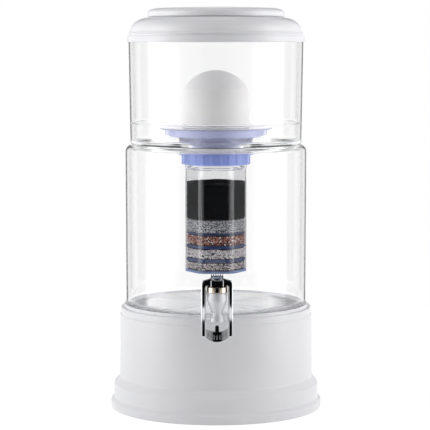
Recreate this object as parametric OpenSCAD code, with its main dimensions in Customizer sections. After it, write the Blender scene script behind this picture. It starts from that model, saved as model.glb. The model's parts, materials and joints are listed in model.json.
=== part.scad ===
// Countertop gravity water filter: two clear tanks on a white stand, a ceramic dome and a
// mineral cartridge between them, and a chromed push tap on the lower tank.
// Millimetres, +Z up, the tap faces -Y, the origin is the centre of the foot on the table.

/* [Stand] */
// Height of the rim of the stand
base_h = 133; // [110:1:150]
// Wall thickness of the stand
base_t = 3; // [2.4:0.1:4]
// Height of the foot band at the table
foot_h = 10; // [6:0.5:14]
// How far the foot band stands out from the plinth
foot_out = 4.1; // [2:0.1:8]
// Height of the plinth above the table
plinth_h = 32; // [26:0.5:40]
// How far the plinth stands out from the wall
plinth_out = 7.4; // [4:0.1:12]
// Rise of the slope between the foot band and the plinth
foot_slope = 4; // [2:0.5:8]
// Rise of the slope between the plinth and the wall
plinth_slope = 9; // [5:0.5:14]
// Height of the narrower band under the rim
band_h = 8.5; // [6:0.5:18]
// How far the wall stands out from the band under the rim
band_step = 1.3; // [0.5:0.1:3]
// How much wider the wall is at its foot than at its top
wall_draft = 1; // [0:0.1:3]
// Width of the rim outside the lip that holds the tank
rim_w = 4.6; // [3:0.1:8]
// Radius of the rim's outer edge
rim_round = 2; // [1:0.1:2.8]
// Height of the lip above the rim
lip_h = 4; // [2:0.5:8]
// Thickness of the lip
lip_t = 1.4; // [1.2:0.1:3]
// Depth of the deck below the rim
deck_drop = 2; // [0:0.5:8]
// Number of stiffening ribs under the deck
rib_n = 8; // [4:1:12]
// Depth of the ribs under the deck
rib_h = 22; // [10:1:40]
// Thickness of a rib
rib_t = 2.4; // [1.6:0.1:4]
// Radius at which the ribs start
rib_r = 52; // [30:1:80]

/* [Lower tank] */
// Outer radius of the lower tank at its shoulder
tank_r = 118.5; // [112:0.5:128]
// Height of the lower tank
lower_h = 215; // [200:1:260]
// Wall thickness of the lower tank
lower_t = 4; // [3:0.1:5]
// Floor thickness of the lower tank
lower_floor = 6; // [4:0.5:9]
// How much narrower the lower tank is at its foot than at its shoulder
lower_draft = 0.6; // [0:0.1:2]
// Radius of the rounded shoulder
shoulder_r = 9.5; // [7:0.5:12]
// Radius of the rounded bottom edge
heel_r = 10; // [7:0.5:12]
// Width of the flat rim around the mouth
mouth_rim = 4; // [3.5:0.5:7]
// Clearance between the tank and the lip of the stand
tank_fit = 0.5; // [0.4:0.1:1.5]

/* [Upper tank] */
// Height of the upper tank
upper_h = 139; // [120:1:170]
// Wall thickness of the upper tank
upper_t = 4.5; // [3:0.1:6]
// Floor thickness of the upper tank
upper_floor = 5; // [4:0.5:8]
// How far the foot of the upper tank is set in from the lower tank
upper_inset = 6.6; // [5:0.1:8]
// How much wider the upper tank is at its mouth than at its foot
upper_draft = 2.2; // [0:0.1:5]
// Radius of the rounded bottom edge of the upper tank
upper_heel = 4; // [2:0.5:5]

/* [Lid] */
// Height of the lid above the rim of the tank
lid_h = 40; // [34:1:60]
// Wall thickness of the lid
lid_t = 2.2; // [1.6:0.1:3]
// Thickness of the lip around the tank's rim
lid_lip_t = 1; // [0.8:0.1:2]
// Depth of the lip below the rim of the tank
lid_lip_h = 5.5; // [2:0.5:10]
// Radial clearance between the lip and the tank
lid_fit = 0.4; // [0.3:0.1:1]
// Height of the bead above the rim of the tank
bead_up = 5; // [3:0.5:6]
// How far the bead is set in from the lip
bead_in = 2.1; // [1:0.1:4]
// How far the foot of the curved shoulder is set in from the bead
shoulder_in = 2; // [1.5:0.1:6]
// Height of the foot of the curved shoulder above the rim of the tank
shoulder_up = 8.8; // [7:0.1:12]
// Outer radius of the grip disc
disc_r = 89.1; // [70:0.5:96]
// Thickness of the grip disc at its edge
disc_t = 11; // [7:0.5:12]
// Rise of the disc's crown from its edge to its centre
crown = 1.6; // [0:0.1:3]
// How far the neck under the disc is set in
neck_in = 3; // [2:0.5:10]
// Height of the groove under the disc
groove_h = 1; // [0.8:0.1:3]
// How far the shoulder's top edge is set in from the disc's edge
tier_in = 4.3; // [2:0.1:5]

/* [Ceramic dome] */
// Outer radius of the dome at its foot
dome_r = 45; // [38:0.5:50]
// Height of the dome
dome_h = 75; // [60:1:90]
// Wall thickness of the dome
dome_t = 9; // [6:0.5:12]
// How much narrower the dome is where its cap starts
dome_draft = 2.7; // [0:0.1:5]
// Height of the straight side
dome_side = 50; // [40:1:56]
// Thickness of the plastic disc under the dome
disc_base_t = 4; // [3:0.5:6]
// How far the disc is set in from the dome's edge
disc_base_in = 1.5; // [0.5:0.1:4]
// Radius of the hollow threaded stud
stud_r = 6; // [4.5:0.5:8]
// Bore radius of the stud
stud_bore = 3; // [2:0.5:3.5]
// Length of the stud below the disc
stud_l = 17; // [15:1:24]
// Outer radius of the dome's washer
dome_washer_r = 14; // [11:0.5:20]
// Thickness of the dome's washer
dome_washer_t = 2; // [1.5:0.1:3]
// Clearance between the dome's disc and the seat
dome_gap = 0.3; // [0.2:0.1:0.6]
// Radius of the wing nut's hub
wing_hub_r = 10; // [9:0.5:13]
// Height of the wing nut
wing_h = 8; // [6:0.5:10]
// Half the span of the wings
wing_span = 21; // [16:0.5:26]
// Thickness of a wing
wing_t = 3.5; // [2:0.5:5]
// Radial clearance in threads and around studs
thread_fit = 0.3; // [0.2:0.05:0.5]

/* [Filter seat] */
// Outer radius of the seat's flange
seat_r = 73.3; // [66:0.5:84]
// Thickness of the seat's flange
seat_t = 2; // [1.5:0.1:4]
// How far the skirt is set in from the flange's edge
skirt_in = 6.3; // [4:0.1:8]
// Wall thickness of the skirt
skirt_t = 1.2; // [1:0.1:2]
// Depth of the skirt below the flange
skirt_h = 7.5; // [4:0.5:8]
// Outer radius of the ring wall under the flange
cup_r = 60; // [56:0.5:62]
// Thickness of the ring wall under the flange
cup_t = 2.5; // [1.5:0.1:4]
// Height from the gasket to the underside of the flange
cup_h = 9.7; // [9:0.1:14]
// Outer radius of the threaded collar through the floor
collar_r = 34; // [30:0.5:36]
// Wall thickness of the collar
collar_t = 3; // [2:0.1:4]
// How far the collar reaches below the floor of the upper tank
collar_down = 22; // [20:0.5:23]
// Outer radius of the collar's flange on the gasket
collar_flange = 50; // [46:0.5:54]
// Thickness of the collar's flange
collar_flange_t = 2; // [1.5:0.1:4]
// Thickness of the gasket
gasket_t = 5; // [2:0.5:6]
// Outer radius of the gasket
gasket_r = 48.5; // [44:0.5:54]
// Outer radius of the lock nut
nut_r = 48; // [44:0.5:54]
// Height of the lock nut
nut_h = 6; // [4:0.5:9]
// Number of finger notches around the lock nut
nut_notches = 12; // [6:1:18]
// Radius of a finger notch
notch_r = 2.5; // [1.5:0.1:4]

/* [Cartridge] */
// Outer radius of the cap's flange
cap_flange_r = 48.5; // [44:0.5:52]
// Thickness of the cap's flange
cap_flange_t = 4.5; // [3:0.5:6]
// Outer radius of the cap's body
cap_r = 44.4; // [43:0.1:46]
// Height of the cap's body below its flange
cap_h = 14; // [10:0.5:18]
// Number of grip ribs on the cap
grip_n = 24; // [12:2:36]
// Width of a grip rib
grip_w = 2.2; // [1.5:0.1:4]
// Height of a grip rib above the cap
grip_out = 0.8; // [0.4:0.1:1.5]
// Thickness of the flat seal on the cap
cap_seal_t = 1.2; // [1:0.1:3]
// Width of the flat seal on the cap
cap_seal_w = 6; // [4:0.5:8]
// Gap between the seal and the lock nut
seal_gap = 0.3; // [0.2:0.1:0.6]
// Outer radius of the housing's round neck
neck_r = 40.3; // [39.5:0.1:41]
// Wall thickness of the neck
neck_t = 2.6; // [2:0.1:2.8]
// Length of neck that shows under the cap
neck_show = 6; // [3:0.5:10]
// Length of neck inside the cap
neck_in_cap = 12; // [7:0.5:12]
// Height of the six-sided part of the housing
housing_h = 135; // [125:1:150]
// Distance from the axis to a side's flat face
side_ap = 36.5; // [34:0.1:37]
// How much the bevel cuts off a corner of the six-sided part
corner_cut = 2.1; // [1:0.1:3]
// Wall thickness of the housing
housing_t = 2; // [1.5:0.1:3]
// Thickness of the neck's floor, which joins it to the six sides
housing_deck = 2.4; // [1.5:0.1:4]
// Thickness of the bottom plate
plate_t = 3; // [2:0.5:5]
// Number of outlet holes in each ring of the bottom plate
outlet_n = 12; // [6:1:16]
// Radius of an outlet hole
outlet_r = 1.6; // [1:0.1:2.5]
// Clearance between the filling and the housing
fill_gap = 0.15; // [0.1:0.05:0.3]
// Height of the bed of small stones
stone_h = 11.4; // [8:0.2:14]
// Thickness of the lowest felt pad
felt_c_t = 3.7; // [2:0.1:5]
// Height of the bed of ceramic balls
ball_h = 14.2; // [10:0.2:18]
// Thickness of the middle felt pad
felt_b_t = 3.2; // [2:0.1:5]
// Height of the bed of red minerals
mineral_h = 14.5; // [10:0.5:18]
// Thickness of the upper felt pad
felt_a_t = 2; // [1:0.1:4]
// Height of the bed of zeolite
zeolite_h = 18; // [12:0.5:20]
// Height of the bed of carbon granules
carbon_h = 50; // [40:0.5:52]

/* [Tap] */
// Height of the tap's shank above the foot of the lower tank
tap_up = 32; // [30:0.5:60]
// Distance from the tank's wall to the axis of the spout
tap_reach = 32.5; // [30:0.5:40]
// Radius of the threaded shank
shank_r = 8; // [7:0.5:9]
// Bore radius of the shank
shank_bore = 4.5; // [3:0.5:5]
// Radius of the plain neck between the body and the flange
shank_neck_r = 6.6; // [6:0.1:7]
// Radius of the shank's flange
shank_flange_r = 13; // [12:0.5:16]
// Thickness of the shank's flange
shank_flange_t = 2.5; // [2:0.5:4]
// Radial clearance of the shank in the tank's hole
hole_fit = 0.6; // [0.3:0.1:1]
// Thickness of a tap washer where it is thinnest
tap_washer_t = 2; // [1.5:0.1:4]
// Clearance between a tap washer and the tank's curved wall
washer_fit = 0.05; // [0.02:0.01:0.2]
// Corner radius of the six-sided nut
tap_nut_r = 14; // [13:0.5:16]
// Thickness of the nut
tap_nut_t = 8; // [5:0.5:10]
// Length of shank past the nut
shank_past = 2.5; // [1:0.5:6]
// Radius of the spout's mouth
spout_r = 9.4; // [8.5:0.1:10.5]
// Radius of the neck above the mouth
spout_neck_r = 6.3; // [6:0.1:7]
// Radius of the body at its widest
belly_r = 12.1; // [11.6:0.1:12.4]
// Length of the body below the shank's axis
spout_down = 30; // [27:0.5:34]
// Radius of the outlet
outlet_bore = 4; // [3:0.5:4]
// Radius of the valve chamber
chamber_r = 7.2; // [6.8:0.1:7.6]
// Depth of the valve seat below the shank's axis
seat_down = 7; // [6:0.5:8]
// Height of the body above the shank's axis
body_up = 7.3; // [6.5:0.1:9]
// Radius of the bonnet
bonnet_r = 12.8; // [12.2:0.1:13.2]
// Height of the bonnet
bonnet_h = 7; // [5:0.5:9]
// Length of the bonnet's threaded plug in the body
plug_h = 4; // [3:0.5:5]
// Depth of the spring's pocket in the plug
pocket_h = 5; // [4.5:0.5:6]
// Radius of the stem
stem_r = 3; // [2.5:0.1:3.2]
// Running clearance of the stem and the lever's pin
run_fit = 0.08; // [0.05:0.01:0.1]
// Radius of the stem's foot plate
foot_plate_r = 6; // [5.5:0.1:6.2]
// Thickness of the stem's foot plate
foot_plate_t = 2.5; // [1.5:0.1:3]
// Thickness of the rubber valve seal
valve_t = 2.5; // [1.5:0.1:3]
// Wire diameter of the spring
wire_d = 0.9; // [0.6:0.1:1]
// Outer radius of the spring
spring_r = 5.3; // [4.8:0.1:5.4]
// Number of turns of the spring
spring_turns = 5; // [4:1:6]

/* [Lever] */
// Gap between the lever's sole and the bonnet
sole_gap = 0.3; // [0.2:0.1:0.6]
// Half the width of the lever's head
head_w = 7.9; // [7:0.1:9]
// Half the depth of the lever's sole
sole_d = 8; // [7.5:0.1:8.5]
// Height of the head's front edge above its sole
head_front = 6.4; // [6.2:0.1:9]
// Height of the head's back edge above its sole
head_back = 12.4; // [11:0.1:14]
// Height of the lever's pin above its sole
pin_up = 3.4; // [3:0.1:3.6]
// Radius of the lever's pin
pin_r = 1.5; // [1.2:0.1:1.6]
// Length of stem above the pin
stem_past = 2.4; // [2:0.1:2.6]
// Largest tilt of the lever, in degrees
lever_tilt = 13; // [10:1:15]
// Half the width over the arms
arm_out = 19.7; // [19:0.1:22]
// Width of an arm
arm_w = 5.7; // [4:0.1:5.8]
// Depth of an arm, front to back
arm_d = 6; // [4:0.5:8]
// Radius of the rounded corners under the shoulders
arch_r = 2; // [1:0.1:2.2]
// Height of the arms' bottom end below the sole
arm_down = 63.6; // [58:0.1:66]
// Height of the push plate at its middle
push_h = 13.2; // [10:0.1:15]
// How far the push plate's middle hangs below the arms' ends
push_sag = 7.3; // [4:0.1:9]
// Thickness of the push plate
push_t = 3; // [2:0.1:4]
// Radius of the hollow in the push plate's front
push_r = 35; // [28:0.5:60]
// Radius of the round tab on the push plate
tab_r = 2.8; // [2:0.1:4]
// Height of the tab above the push plate
tab_h = 8.5; // [4:0.5:10]
// Radius of the thumb dish
dish_r = 6.2; // [4:0.1:6.6]
// Depth of the thumb dish
dish_t = 0.5; // [0.2:0.1:0.8]
// How far the thumb rest stands out behind the head
rest_out = 1.8; // [1:0.1:2.5]
// Number of ridges on the thumb rest
ridge_n = 6; // [3:1:8]
// Height of the ridges
ridge_h = 2.6; // [1:0.1:4]

/* [Hidden] */

$fn = 96;
eps = 0.01;
arc_n = 8;

// Heights of the main levels
deck_z = base_h - deck_drop;
floor_z = deck_z + lower_h;
rim_z = floor_z + upper_h;
top_z = rim_z + lid_h;

// Radii of the stand, from the tank outwards
tank_foot_r = tank_r - lower_draft;
lip_in_r = tank_r + tank_fit;
lip_out_r = lip_in_r + lip_t;
band_r = lip_out_r + rim_w;
wall_top_r = band_r + band_step;
wall_foot_r = wall_top_r + wall_draft;
plinth_r = wall_foot_r + plinth_out;
foot_r = plinth_r + foot_out;

// Radii of the upper tank and the lid
upper_foot_r = tank_r - upper_inset;
upper_rim_r = upper_foot_r + upper_draft;
lid_in_r = upper_rim_r + lid_fit;
lid_r = lid_in_r + lid_lip_t;
bead_r = lid_r - bead_in;
shoulder_foot_r = bead_r - shoulder_in;
tier_r = disc_r - tier_in;
disc_z = top_z - crown - disc_t;
tier_z = disc_z - groove_h;

// Levels of the filter, from the floor of the upper tank
inner_floor_z = floor_z + upper_floor;
collar_flange_z = inner_floor_z + gasket_t;
plate_z = collar_flange_z + cup_h;
seat_z = plate_z + seat_t;
dome_z = seat_z + dome_gap;
stud_hole = stud_r + thread_fit;
collar_in_r = collar_r - collar_t;
collar_hole = collar_r + thread_fit;
nut_z = floor_z - nut_h;
cap_top = nut_z - seal_gap - cap_seal_t;
cap_body_z = cap_top - cap_flange_t;
cap_z = cap_body_z - cap_h;
housing_top = cap_z - neck_show;
housing_z = housing_top - housing_h;
neck_top = cap_z + neck_in_cap;
corner_d = side_ap / cos(30) - corner_cut;

// Levels of the filling, from the bottom plate
stone_z = housing_z + plate_t;
felt_c_z = stone_z + stone_h;
ball_z = felt_c_z + felt_c_t;
felt_b_z = ball_z + ball_h;
mineral_z = felt_b_z + felt_b_t;
felt_a_z = mineral_z + mineral_h;
zeolite_z = felt_a_z + felt_a_t;
carbon_z = zeolite_z + zeolite_h;

// Places of the tap: its axis, and its levels above the shank's axis
tap_z = deck_z + tap_up;
hole_wall_r = tank_foot_r + lower_draft * tap_up / lower_h;
tap_y = -(hole_wall_r + tap_reach);
washer_sag = shank_flange_r * shank_flange_r / (2 * hole_wall_r);
washer_draft = lower_draft * shank_flange_r / lower_h + washer_fit;
flange_y = tap_reach - tap_washer_t - shank_flange_t;
inner_wall_y = tap_reach + lower_t;
tap_nut_y = inner_wall_y + tap_washer_t + washer_sag;
shank_end = tap_nut_y + tap_nut_t + shank_past;
bonnet_top = body_up + bonnet_h;
pocket_r = foot_plate_r;
pocket_top = body_up - plug_h + pocket_h;
sole_z = bonnet_top + sole_gap;
pin_z = sole_z + pin_up;
stem_top = pin_z + stem_past;
stem_foot = valve_t - seat_down;
spring_foot = stem_foot + foot_plate_t;
arm_in = arm_out - arm_w;
arm_foot = sole_z - arm_down;
push_foot = arm_foot - push_sag;
push_top = push_foot + push_h;
push_mid_y = push_r - sqrt(push_r * push_r - arm_in * arm_in);

// ---- outlines ------------------------------------------------------------------------------

// Points of a round corner: centre, radius, first and last angle
function arc(c, r, a0, a1, n = arc_n) =
    [for (i = [0:n]) let (a = a0 + (a1 - a0) * i / n) c + r * [cos(a), sin(a)]];

// A smooth curve through p, with n steps between neighbours
function smooth(p, n = 6) = let (last = len(p) - 1) [
    for (i = [0:last - 1], j = [0:n - 1]) let (
        t = j / n,
        a = p[max(i - 1, 0)], b = p[i], c = p[i + 1], d = p[min(i + 2, last)]
    ) 0.5 * (2 * b + (c - a) * t + (2 * a - 5 * b + 4 * c - d) * t * t
        + (3 * b - a - 3 * c + d) * t * t * t),
    p[last]
];

// One corner of the bevelled hexagon: sides at ap from the axis, bevels at d
function hex_corner(i, side, d, ap) = let (
    a = 60 * i,
    s = side * (ap - d * cos(30)) / sin(30)
) d * [cos(a), sin(a)] + s * [-sin(a), cos(a)];

function hex_points(inset = 0) = [
    for (i = [0:5], side = [-1, 1]) hex_corner(i, side, corner_d - inset, side_ap - inset)
];

// A solid of revolution between two heights, with a bore
module ring(r_out, r_in, z0, z1) {
    translate([0, 0, z0]) difference() {
        cylinder(r = r_out, h = z1 - z0);
        if (r_in > 0) translate([0, 0, -eps]) cylinder(r = r_in, h = z1 - z0 + 2 * eps);
    }
}

module spin(points) {
    rotate_extrude() polygon(points);
}

// Places its children at the tap: origin on the spout's axis at the height of the shank
module at_tap() {
    translate([0, tap_y, tap_z]) children();
}

// ---- stand ---------------------------------------------------------------------------------

module base_shell() {
    lip_top = base_h + lip_h;
    deck_low = deck_z - base_t;
    wall_top_z = base_h - band_h;
    plinth_top = plinth_h + plinth_slope;
    spin(concat(
        [[foot_r - base_t, 0], [foot_r, 0], [foot_r, foot_h], [plinth_r, foot_h + foot_slope],
            [plinth_r, plinth_h], [wall_foot_r, plinth_top], [wall_top_r, wall_top_z - band_step],
            [band_r, wall_top_z]],
        arc([band_r - rim_round, base_h - rim_round], rim_round, 0, 90),
        [[lip_out_r, base_h]],
        arc([lip_out_r - lip_t / 2, lip_top - lip_t / 2], lip_t / 2, 0, 180),
        [[lip_in_r, deck_z], [0, deck_z], [0, deck_low], [band_r - base_t, deck_low],
            [band_r - base_t, wall_top_z - base_t], [wall_top_r - base_t, wall_top_z - base_t - band_step],
            [wall_foot_r - base_t, plinth_top - base_t / 3], [plinth_r - base_t, plinth_h - base_t / 3],
            [plinth_r - base_t, foot_h + foot_slope], [foot_r - base_t, foot_h]]
    ));
}

module base_ribs() {
    rib_len = band_r - base_t / 2 - rib_r;
    for (i = [0:rib_n - 1]) rotate([0, 0, 360 * (i + 0.5) / rib_n])
        translate([rib_r, -rib_t / 2, deck_z - base_t - rib_h]) cube([rib_len, rib_t, rib_h + base_t / 2]);
}

module base() {
    color("#f2f2f3") union() {
        base_shell();
        base_ribs();
    }
}

// ---- tanks ---------------------------------------------------------------------------------

module lower_tank_shell() {
    in_shoulder = shoulder_r - lower_t;
    in_heel = heel_r - lower_t;
    foot_in_r = tank_foot_r - lower_t;
    spin(concat(
        [[0, deck_z]],
        arc([tank_foot_r - heel_r, deck_z + heel_r], heel_r, -90, 0),
        arc([tank_r - shoulder_r, floor_z - shoulder_r], shoulder_r, 0, 90),
        [[tank_r - shoulder_r - mouth_rim, floor_z],
            [tank_r - shoulder_r - mouth_rim, floor_z - lower_t]],
        arc([tank_r - shoulder_r, floor_z - shoulder_r], in_shoulder, 90, 0),
        arc([foot_in_r - in_heel, deck_z + lower_floor + in_heel], in_heel, 0, -90),
        [[0, deck_z + lower_floor]]
    ));
}

module lower_tank() {
    color([0.86, 0.88, 0.93, 0.35]) difference() {
        lower_tank_shell();
        at_tap() translate([0, (tap_reach + inner_wall_y) / 2, 0]) rotate([90, 0, 0])
            cylinder(r = shank_r + hole_fit, h = 4 * lower_t, center = true);
    }
}

module upper_tank() {
    in_heel = max(upper_heel - upper_t / 2, 1);
    rim_in = upper_rim_r - upper_t;
    foot_in = upper_foot_r - upper_t;
    color([0.88, 0.89, 0.94, 0.35]) spin(concat(
        [[collar_hole, floor_z]],
        arc([upper_foot_r - upper_heel, floor_z + upper_heel], upper_heel, -90, 0),
        arc([upper_rim_r - upper_t / 4, rim_z - upper_t / 4], upper_t / 4, 0, 90, 4),
        arc([rim_in + upper_t / 4, rim_z - upper_t / 4], upper_t / 4, 90, 180, 4),
        arc([foot_in - in_heel, inner_floor_z + in_heel], in_heel, 0, -90),
        [[collar_hole, inner_floor_z]]
    ));
}

// ---- lid -----------------------------------------------------------------------------------

module lid() {
    edge = 1.45 * disc_t;
    roll = 0.6 * disc_t;
    rise = tier_z - rim_z - shoulder_up;
    run = shoulder_foot_r - tier_r;
    neck = disc_r - neck_in;
    in_r = min(neck, tier_r) - lid_t;
    color("#f3f3f4") spin(concat(
        [[lid_in_r, rim_z - lid_lip_h]],
        arc([lid_r - lid_lip_t / 2, rim_z - lid_lip_h + lid_lip_t / 2], lid_lip_t / 2, -90, 0, 4),
        arc([lid_r - lid_lip_t / 2, rim_z + lid_t / 2], lid_lip_t / 2, 0, 90, 4),
        [[bead_r - bead_in / 2, rim_z + lid_t]],
        arc([bead_r - bead_in / 2, rim_z + bead_up + bead_in / 2], bead_in / 2, -90, 90),
        [[shoulder_foot_r, rim_z + shoulder_up]],
        [for (i = [1:arc_n + 2]) let (a = 90 * i / (arc_n + 2))
            [tier_r + run * cos(a), rim_z + shoulder_up + rise * sin(a)]],
        [[neck, tier_z], [neck, disc_z], [disc_r, disc_z]],
        [for (i = [0:arc_n]) let (a = 90 * i / arc_n)
            [disc_r - edge + edge * cos(a), disc_z + disc_t - roll + roll * sin(a)]],
        [[disc_r / 2, top_z - crown / 4], [0, top_z], [0, top_z - lid_t]],
        [[disc_r - edge, top_z - crown - lid_t], [in_r, disc_z + 0.7 * disc_t]],
        [[in_r, tier_z - lid_t]],
        [for (i = [1:arc_n]) let (a = 90 - 90 * i / arc_n)
            [tier_r - lid_t + run * cos(a), rim_z + shoulder_up + (rise - lid_t) * sin(a)]],
        [[shoulder_foot_r - lid_t, rim_z], [lid_in_r, rim_z]]
    ));
}

// ---- ceramic dome --------------------------------------------------------------------------

// The cap's outline: a ball's arc of height cap over radius r, from its edge to the axis or back
function dome_outline(r, side, cap, z0, way) = let (
    ball = (r * r + cap * cap) / (2 * cap),
    a0 = acos(r / ball)
) arc([0, z0 + side + cap - ball], ball, way > 0 ? a0 : 90, way > 0 ? 90 : a0, arc_n + 4);

module dome_ceramic() {
    z0 = dome_z + disc_base_t;
    top_r = dome_r - dome_draft;
    side = dome_side - disc_base_t;
    cap = dome_h - dome_side;
    color("#efece9") spin(concat(
        [[dome_r, z0]],
        dome_outline(top_r, side, cap, z0, 1),
        dome_outline(top_r - dome_t, side, cap - dome_t, z0, -1),
        [[dome_r - dome_t, z0]]
    ));
}

module dome_base() {
    color("#f4f4f2") difference() {
        union() {
            ring(dome_r - disc_base_in, 0, dome_z, dome_z + disc_base_t);
            ring(stud_r, 0, dome_z - stud_l, dome_z + disc_base_t / 2);
        }
        ring(dome_washer_r + thread_fit, stud_r, dome_z - eps, seat_z + dome_washer_t);
        translate([0, 0, dome_z - stud_l - eps]) cylinder(r = stud_bore, h = stud_l + disc_base_t + 2 * eps);
    }
}

module dome_washer() {
    color("#3a3a40") ring(dome_washer_r, stud_hole, seat_z, seat_z + dome_washer_t);
}

module dome_nut() {
    color("#5b5f6b") difference() {
        union() {
            ring(wing_hub_r, 0, plate_z - wing_h, plate_z);
            translate([-wing_span, -wing_t / 2, plate_z - wing_h]) cube([2 * wing_span, wing_t, wing_h * 0.75]);
        }
        translate([0, 0, plate_z - wing_h - eps]) cylinder(r = stud_hole, h = wing_h + 2 * eps);
    }
}

// ---- filter seat ---------------------------------------------------------------------------

module filter_seat() {
    skirt_r = seat_r - skirt_in;
    color([0.55, 0.62, 0.93, 0.6]) difference() {
        union() {
            ring(seat_r, 0, plate_z, seat_z);
            ring(skirt_r, skirt_r - skirt_t, plate_z - skirt_h, plate_z + seat_t / 2);
            ring(cup_r, cup_r - cup_t, collar_flange_z, plate_z + seat_t / 2);
            ring(collar_r, 0, floor_z - collar_down, plate_z + seat_t / 2);
            ring(collar_flange, 0, collar_flange_z, collar_flange_z + collar_flange_t);
        }
        translate([0, 0, floor_z - collar_down - eps])
            cylinder(r = collar_in_r, h = plate_z - floor_z + collar_down + eps);
        translate([0, 0, plate_z - eps]) cylinder(r = stud_hole, h = seat_t + 2 * eps);
    }
}

module seat_gasket() {
    color([0.93, 0.93, 0.96, 0.8]) ring(gasket_r, collar_hole, inner_floor_z, collar_flange_z);
}

module lock_nut() {
    color([0.72, 0.74, 0.95, 0.7]) difference() {
        ring(nut_r, collar_hole, nut_z, floor_z);
        for (i = [0:nut_notches - 1]) rotate([0, 0, 360 * i / nut_notches])
            translate([nut_r + notch_r / 2, 0, nut_z - eps]) cylinder(r = notch_r, h = nut_h + 2 * eps, $fn = 24);
    }
}

// ---- cartridge -----------------------------------------------------------------------------

module cartridge_cap() {
    pocket_out = neck_r + thread_fit;
    pocket_in = neck_r - neck_t - thread_fit;
    color([0.42, 0.5, 0.86, 0.8]) difference() {
        union() {
            ring(cap_flange_r, 0, cap_body_z, cap_top);
            ring(cap_r, 0, cap_z, cap_body_z + eps);
            for (i = [0:grip_n - 1]) rotate([0, 0, 360 * (i + 0.5) / grip_n])
                translate([cap_r - grip_out, -grip_w / 2, cap_z]) cube([2 * grip_out, grip_w, cap_h]);
        }
        translate([0, 0, cap_z - eps]) cylinder(r = collar_hole, h = cap_top - cap_z + 2 * eps);
        ring(pocket_out, pocket_in, cap_z - eps, neck_top + thread_fit);
    }
}

module cap_seal() {
    color([0.9, 0.9, 0.95, 0.9])
        ring(collar_hole + 1 + cap_seal_w, collar_hole + 1, cap_top, cap_top + cap_seal_t);
}

module cartridge_housing() {
    color([0.9, 0.91, 0.95, 0.35]) difference() {
        union() {
            translate([0, 0, stone_z]) linear_extrude(housing_top - stone_z) polygon(hex_points());
            ring(neck_r, 0, housing_top - eps, neck_top);
        }
        translate([0, 0, stone_z - eps]) linear_extrude(housing_top - stone_z + eps)
            polygon(hex_points(housing_t));
        translate([0, 0, housing_top - 2 * eps]) cylinder(r = side_ap - housing_t, h = 2 * housing_deck);
        translate([0, 0, housing_top + housing_deck]) cylinder(r = neck_r - neck_t, h = neck_top - housing_top);
    }
}

// One layer of filling or felt, as wide as the housing's inside
module layer(z, h) {
    translate([0, 0, z]) linear_extrude(h) polygon(hex_points(housing_t + fill_gap));
}

module carbon_bed() { color("#23222b") layer(carbon_z, carbon_h); }
module zeolite_bed() { color("#b9bbc4") layer(zeolite_z, zeolite_h); }
module felt_upper() { color("#41577a") layer(felt_a_z, felt_a_t); }
module mineral_bed() { color("#a8685c") layer(mineral_z, mineral_h); }
module felt_middle() { color("#3f5c93") layer(felt_b_z, felt_b_t); }
module ball_bed() { color("#c9c3c6") layer(ball_z, ball_h); }
module felt_lower() { color("#27406f") layer(felt_c_z, felt_c_t); }
module stone_bed() { color("#b8b1b3") layer(stone_z, stone_h); }

module cartridge_base() {
    color("#7e93bd") difference() {
        translate([0, 0, housing_z]) linear_extrude(plate_t) polygon(hex_points());
        for (k = [1:2], i = [0:outlet_n - 1]) rotate([0, 0, 360 * (i + k / 2) / outlet_n])
            translate([side_ap * k / 2.8, 0, housing_z - eps]) cylinder(r = outlet_r, h = plate_t + 2 * eps, $fn = 24);
    }
}

// ---- tap -----------------------------------------------------------------------------------

// A cylinder along Y from y0 to y1, in the tap's frame
module along_y(r, y0, y1, sides = 96) {
    translate([0, y0, 0]) rotate([-90, 0, 0]) cylinder(r = r, h = y1 - y0, $fn = sides);
}

module tap_body() {
    urn = smooth([
        [spout_r, -spout_down], [spout_r - 0.6, -spout_down * 0.85], [spout_neck_r, -spout_down * 0.66],
        [belly_r * 0.72, -spout_down * 0.42], [belly_r, -spout_down * 0.07], [belly_r - 1.6, body_up]
    ]);
    color("#c9cacd") at_tap() difference() {
        union() {
            spin(concat([[0, -spout_down]], urn, [[0, body_up]]));
            along_y(shank_neck_r, 0, flange_y + eps);
            along_y(shank_r, flange_y, shank_end);
            along_y(shank_flange_r, flange_y, flange_y + shank_flange_t);
        }
        translate([0, 0, -seat_down]) cylinder(r = chamber_r, h = seat_down + body_up + eps);
        translate([0, 0, -spout_down - eps]) cylinder(r = outlet_bore, h = spout_down);
        along_y(shank_bore, 0, shank_end + eps);
    }
}

module tap_bonnet() {
    plug_r = chamber_r - thread_fit / 2;
    color("#b8ab9c") at_tap() difference() {
        union() {
            ring(bonnet_r, 0, body_up, bonnet_top);
            ring(plug_r, 0, body_up - plug_h, body_up + eps);
        }
        translate([0, 0, body_up - plug_h - eps]) cylinder(r = pocket_r, h = pocket_h + eps);
        cylinder(r = stem_r + run_fit, h = bonnet_top + eps);
    }
}

// A washer between the tank's curved wall and a flat face, in the tap's frame
module wall_cylinder(r) {
    translate([0, -tap_y, 0]) cylinder(r = r, h = 6 * shank_flange_r, center = true, $fn = 192);
}

module tap_outer_washer() {
    color("#303036") at_tap() difference() {
        along_y(shank_flange_r, flange_y + shank_flange_t, tap_reach + washer_sag);
        along_y(shank_r + hole_fit / 2, 0, shank_end);
        wall_cylinder(hole_wall_r + washer_draft);
    }
}

module tap_inner_washer() {
    color("#303036") at_tap() intersection() {
        difference() {
            along_y(shank_flange_r, tap_reach, tap_nut_y);
            along_y(shank_r + hole_fit / 2, 0, shank_end);
        }
        wall_cylinder(hole_wall_r - lower_t - washer_draft);
    }
}

module tap_nut() {
    color("#c4c5c8") at_tap() difference() {
        along_y(tap_nut_r, tap_nut_y, tap_nut_y + tap_nut_t, 6);
        along_y(shank_r + thread_fit / 2, 0, shank_end);
    }
}

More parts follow.
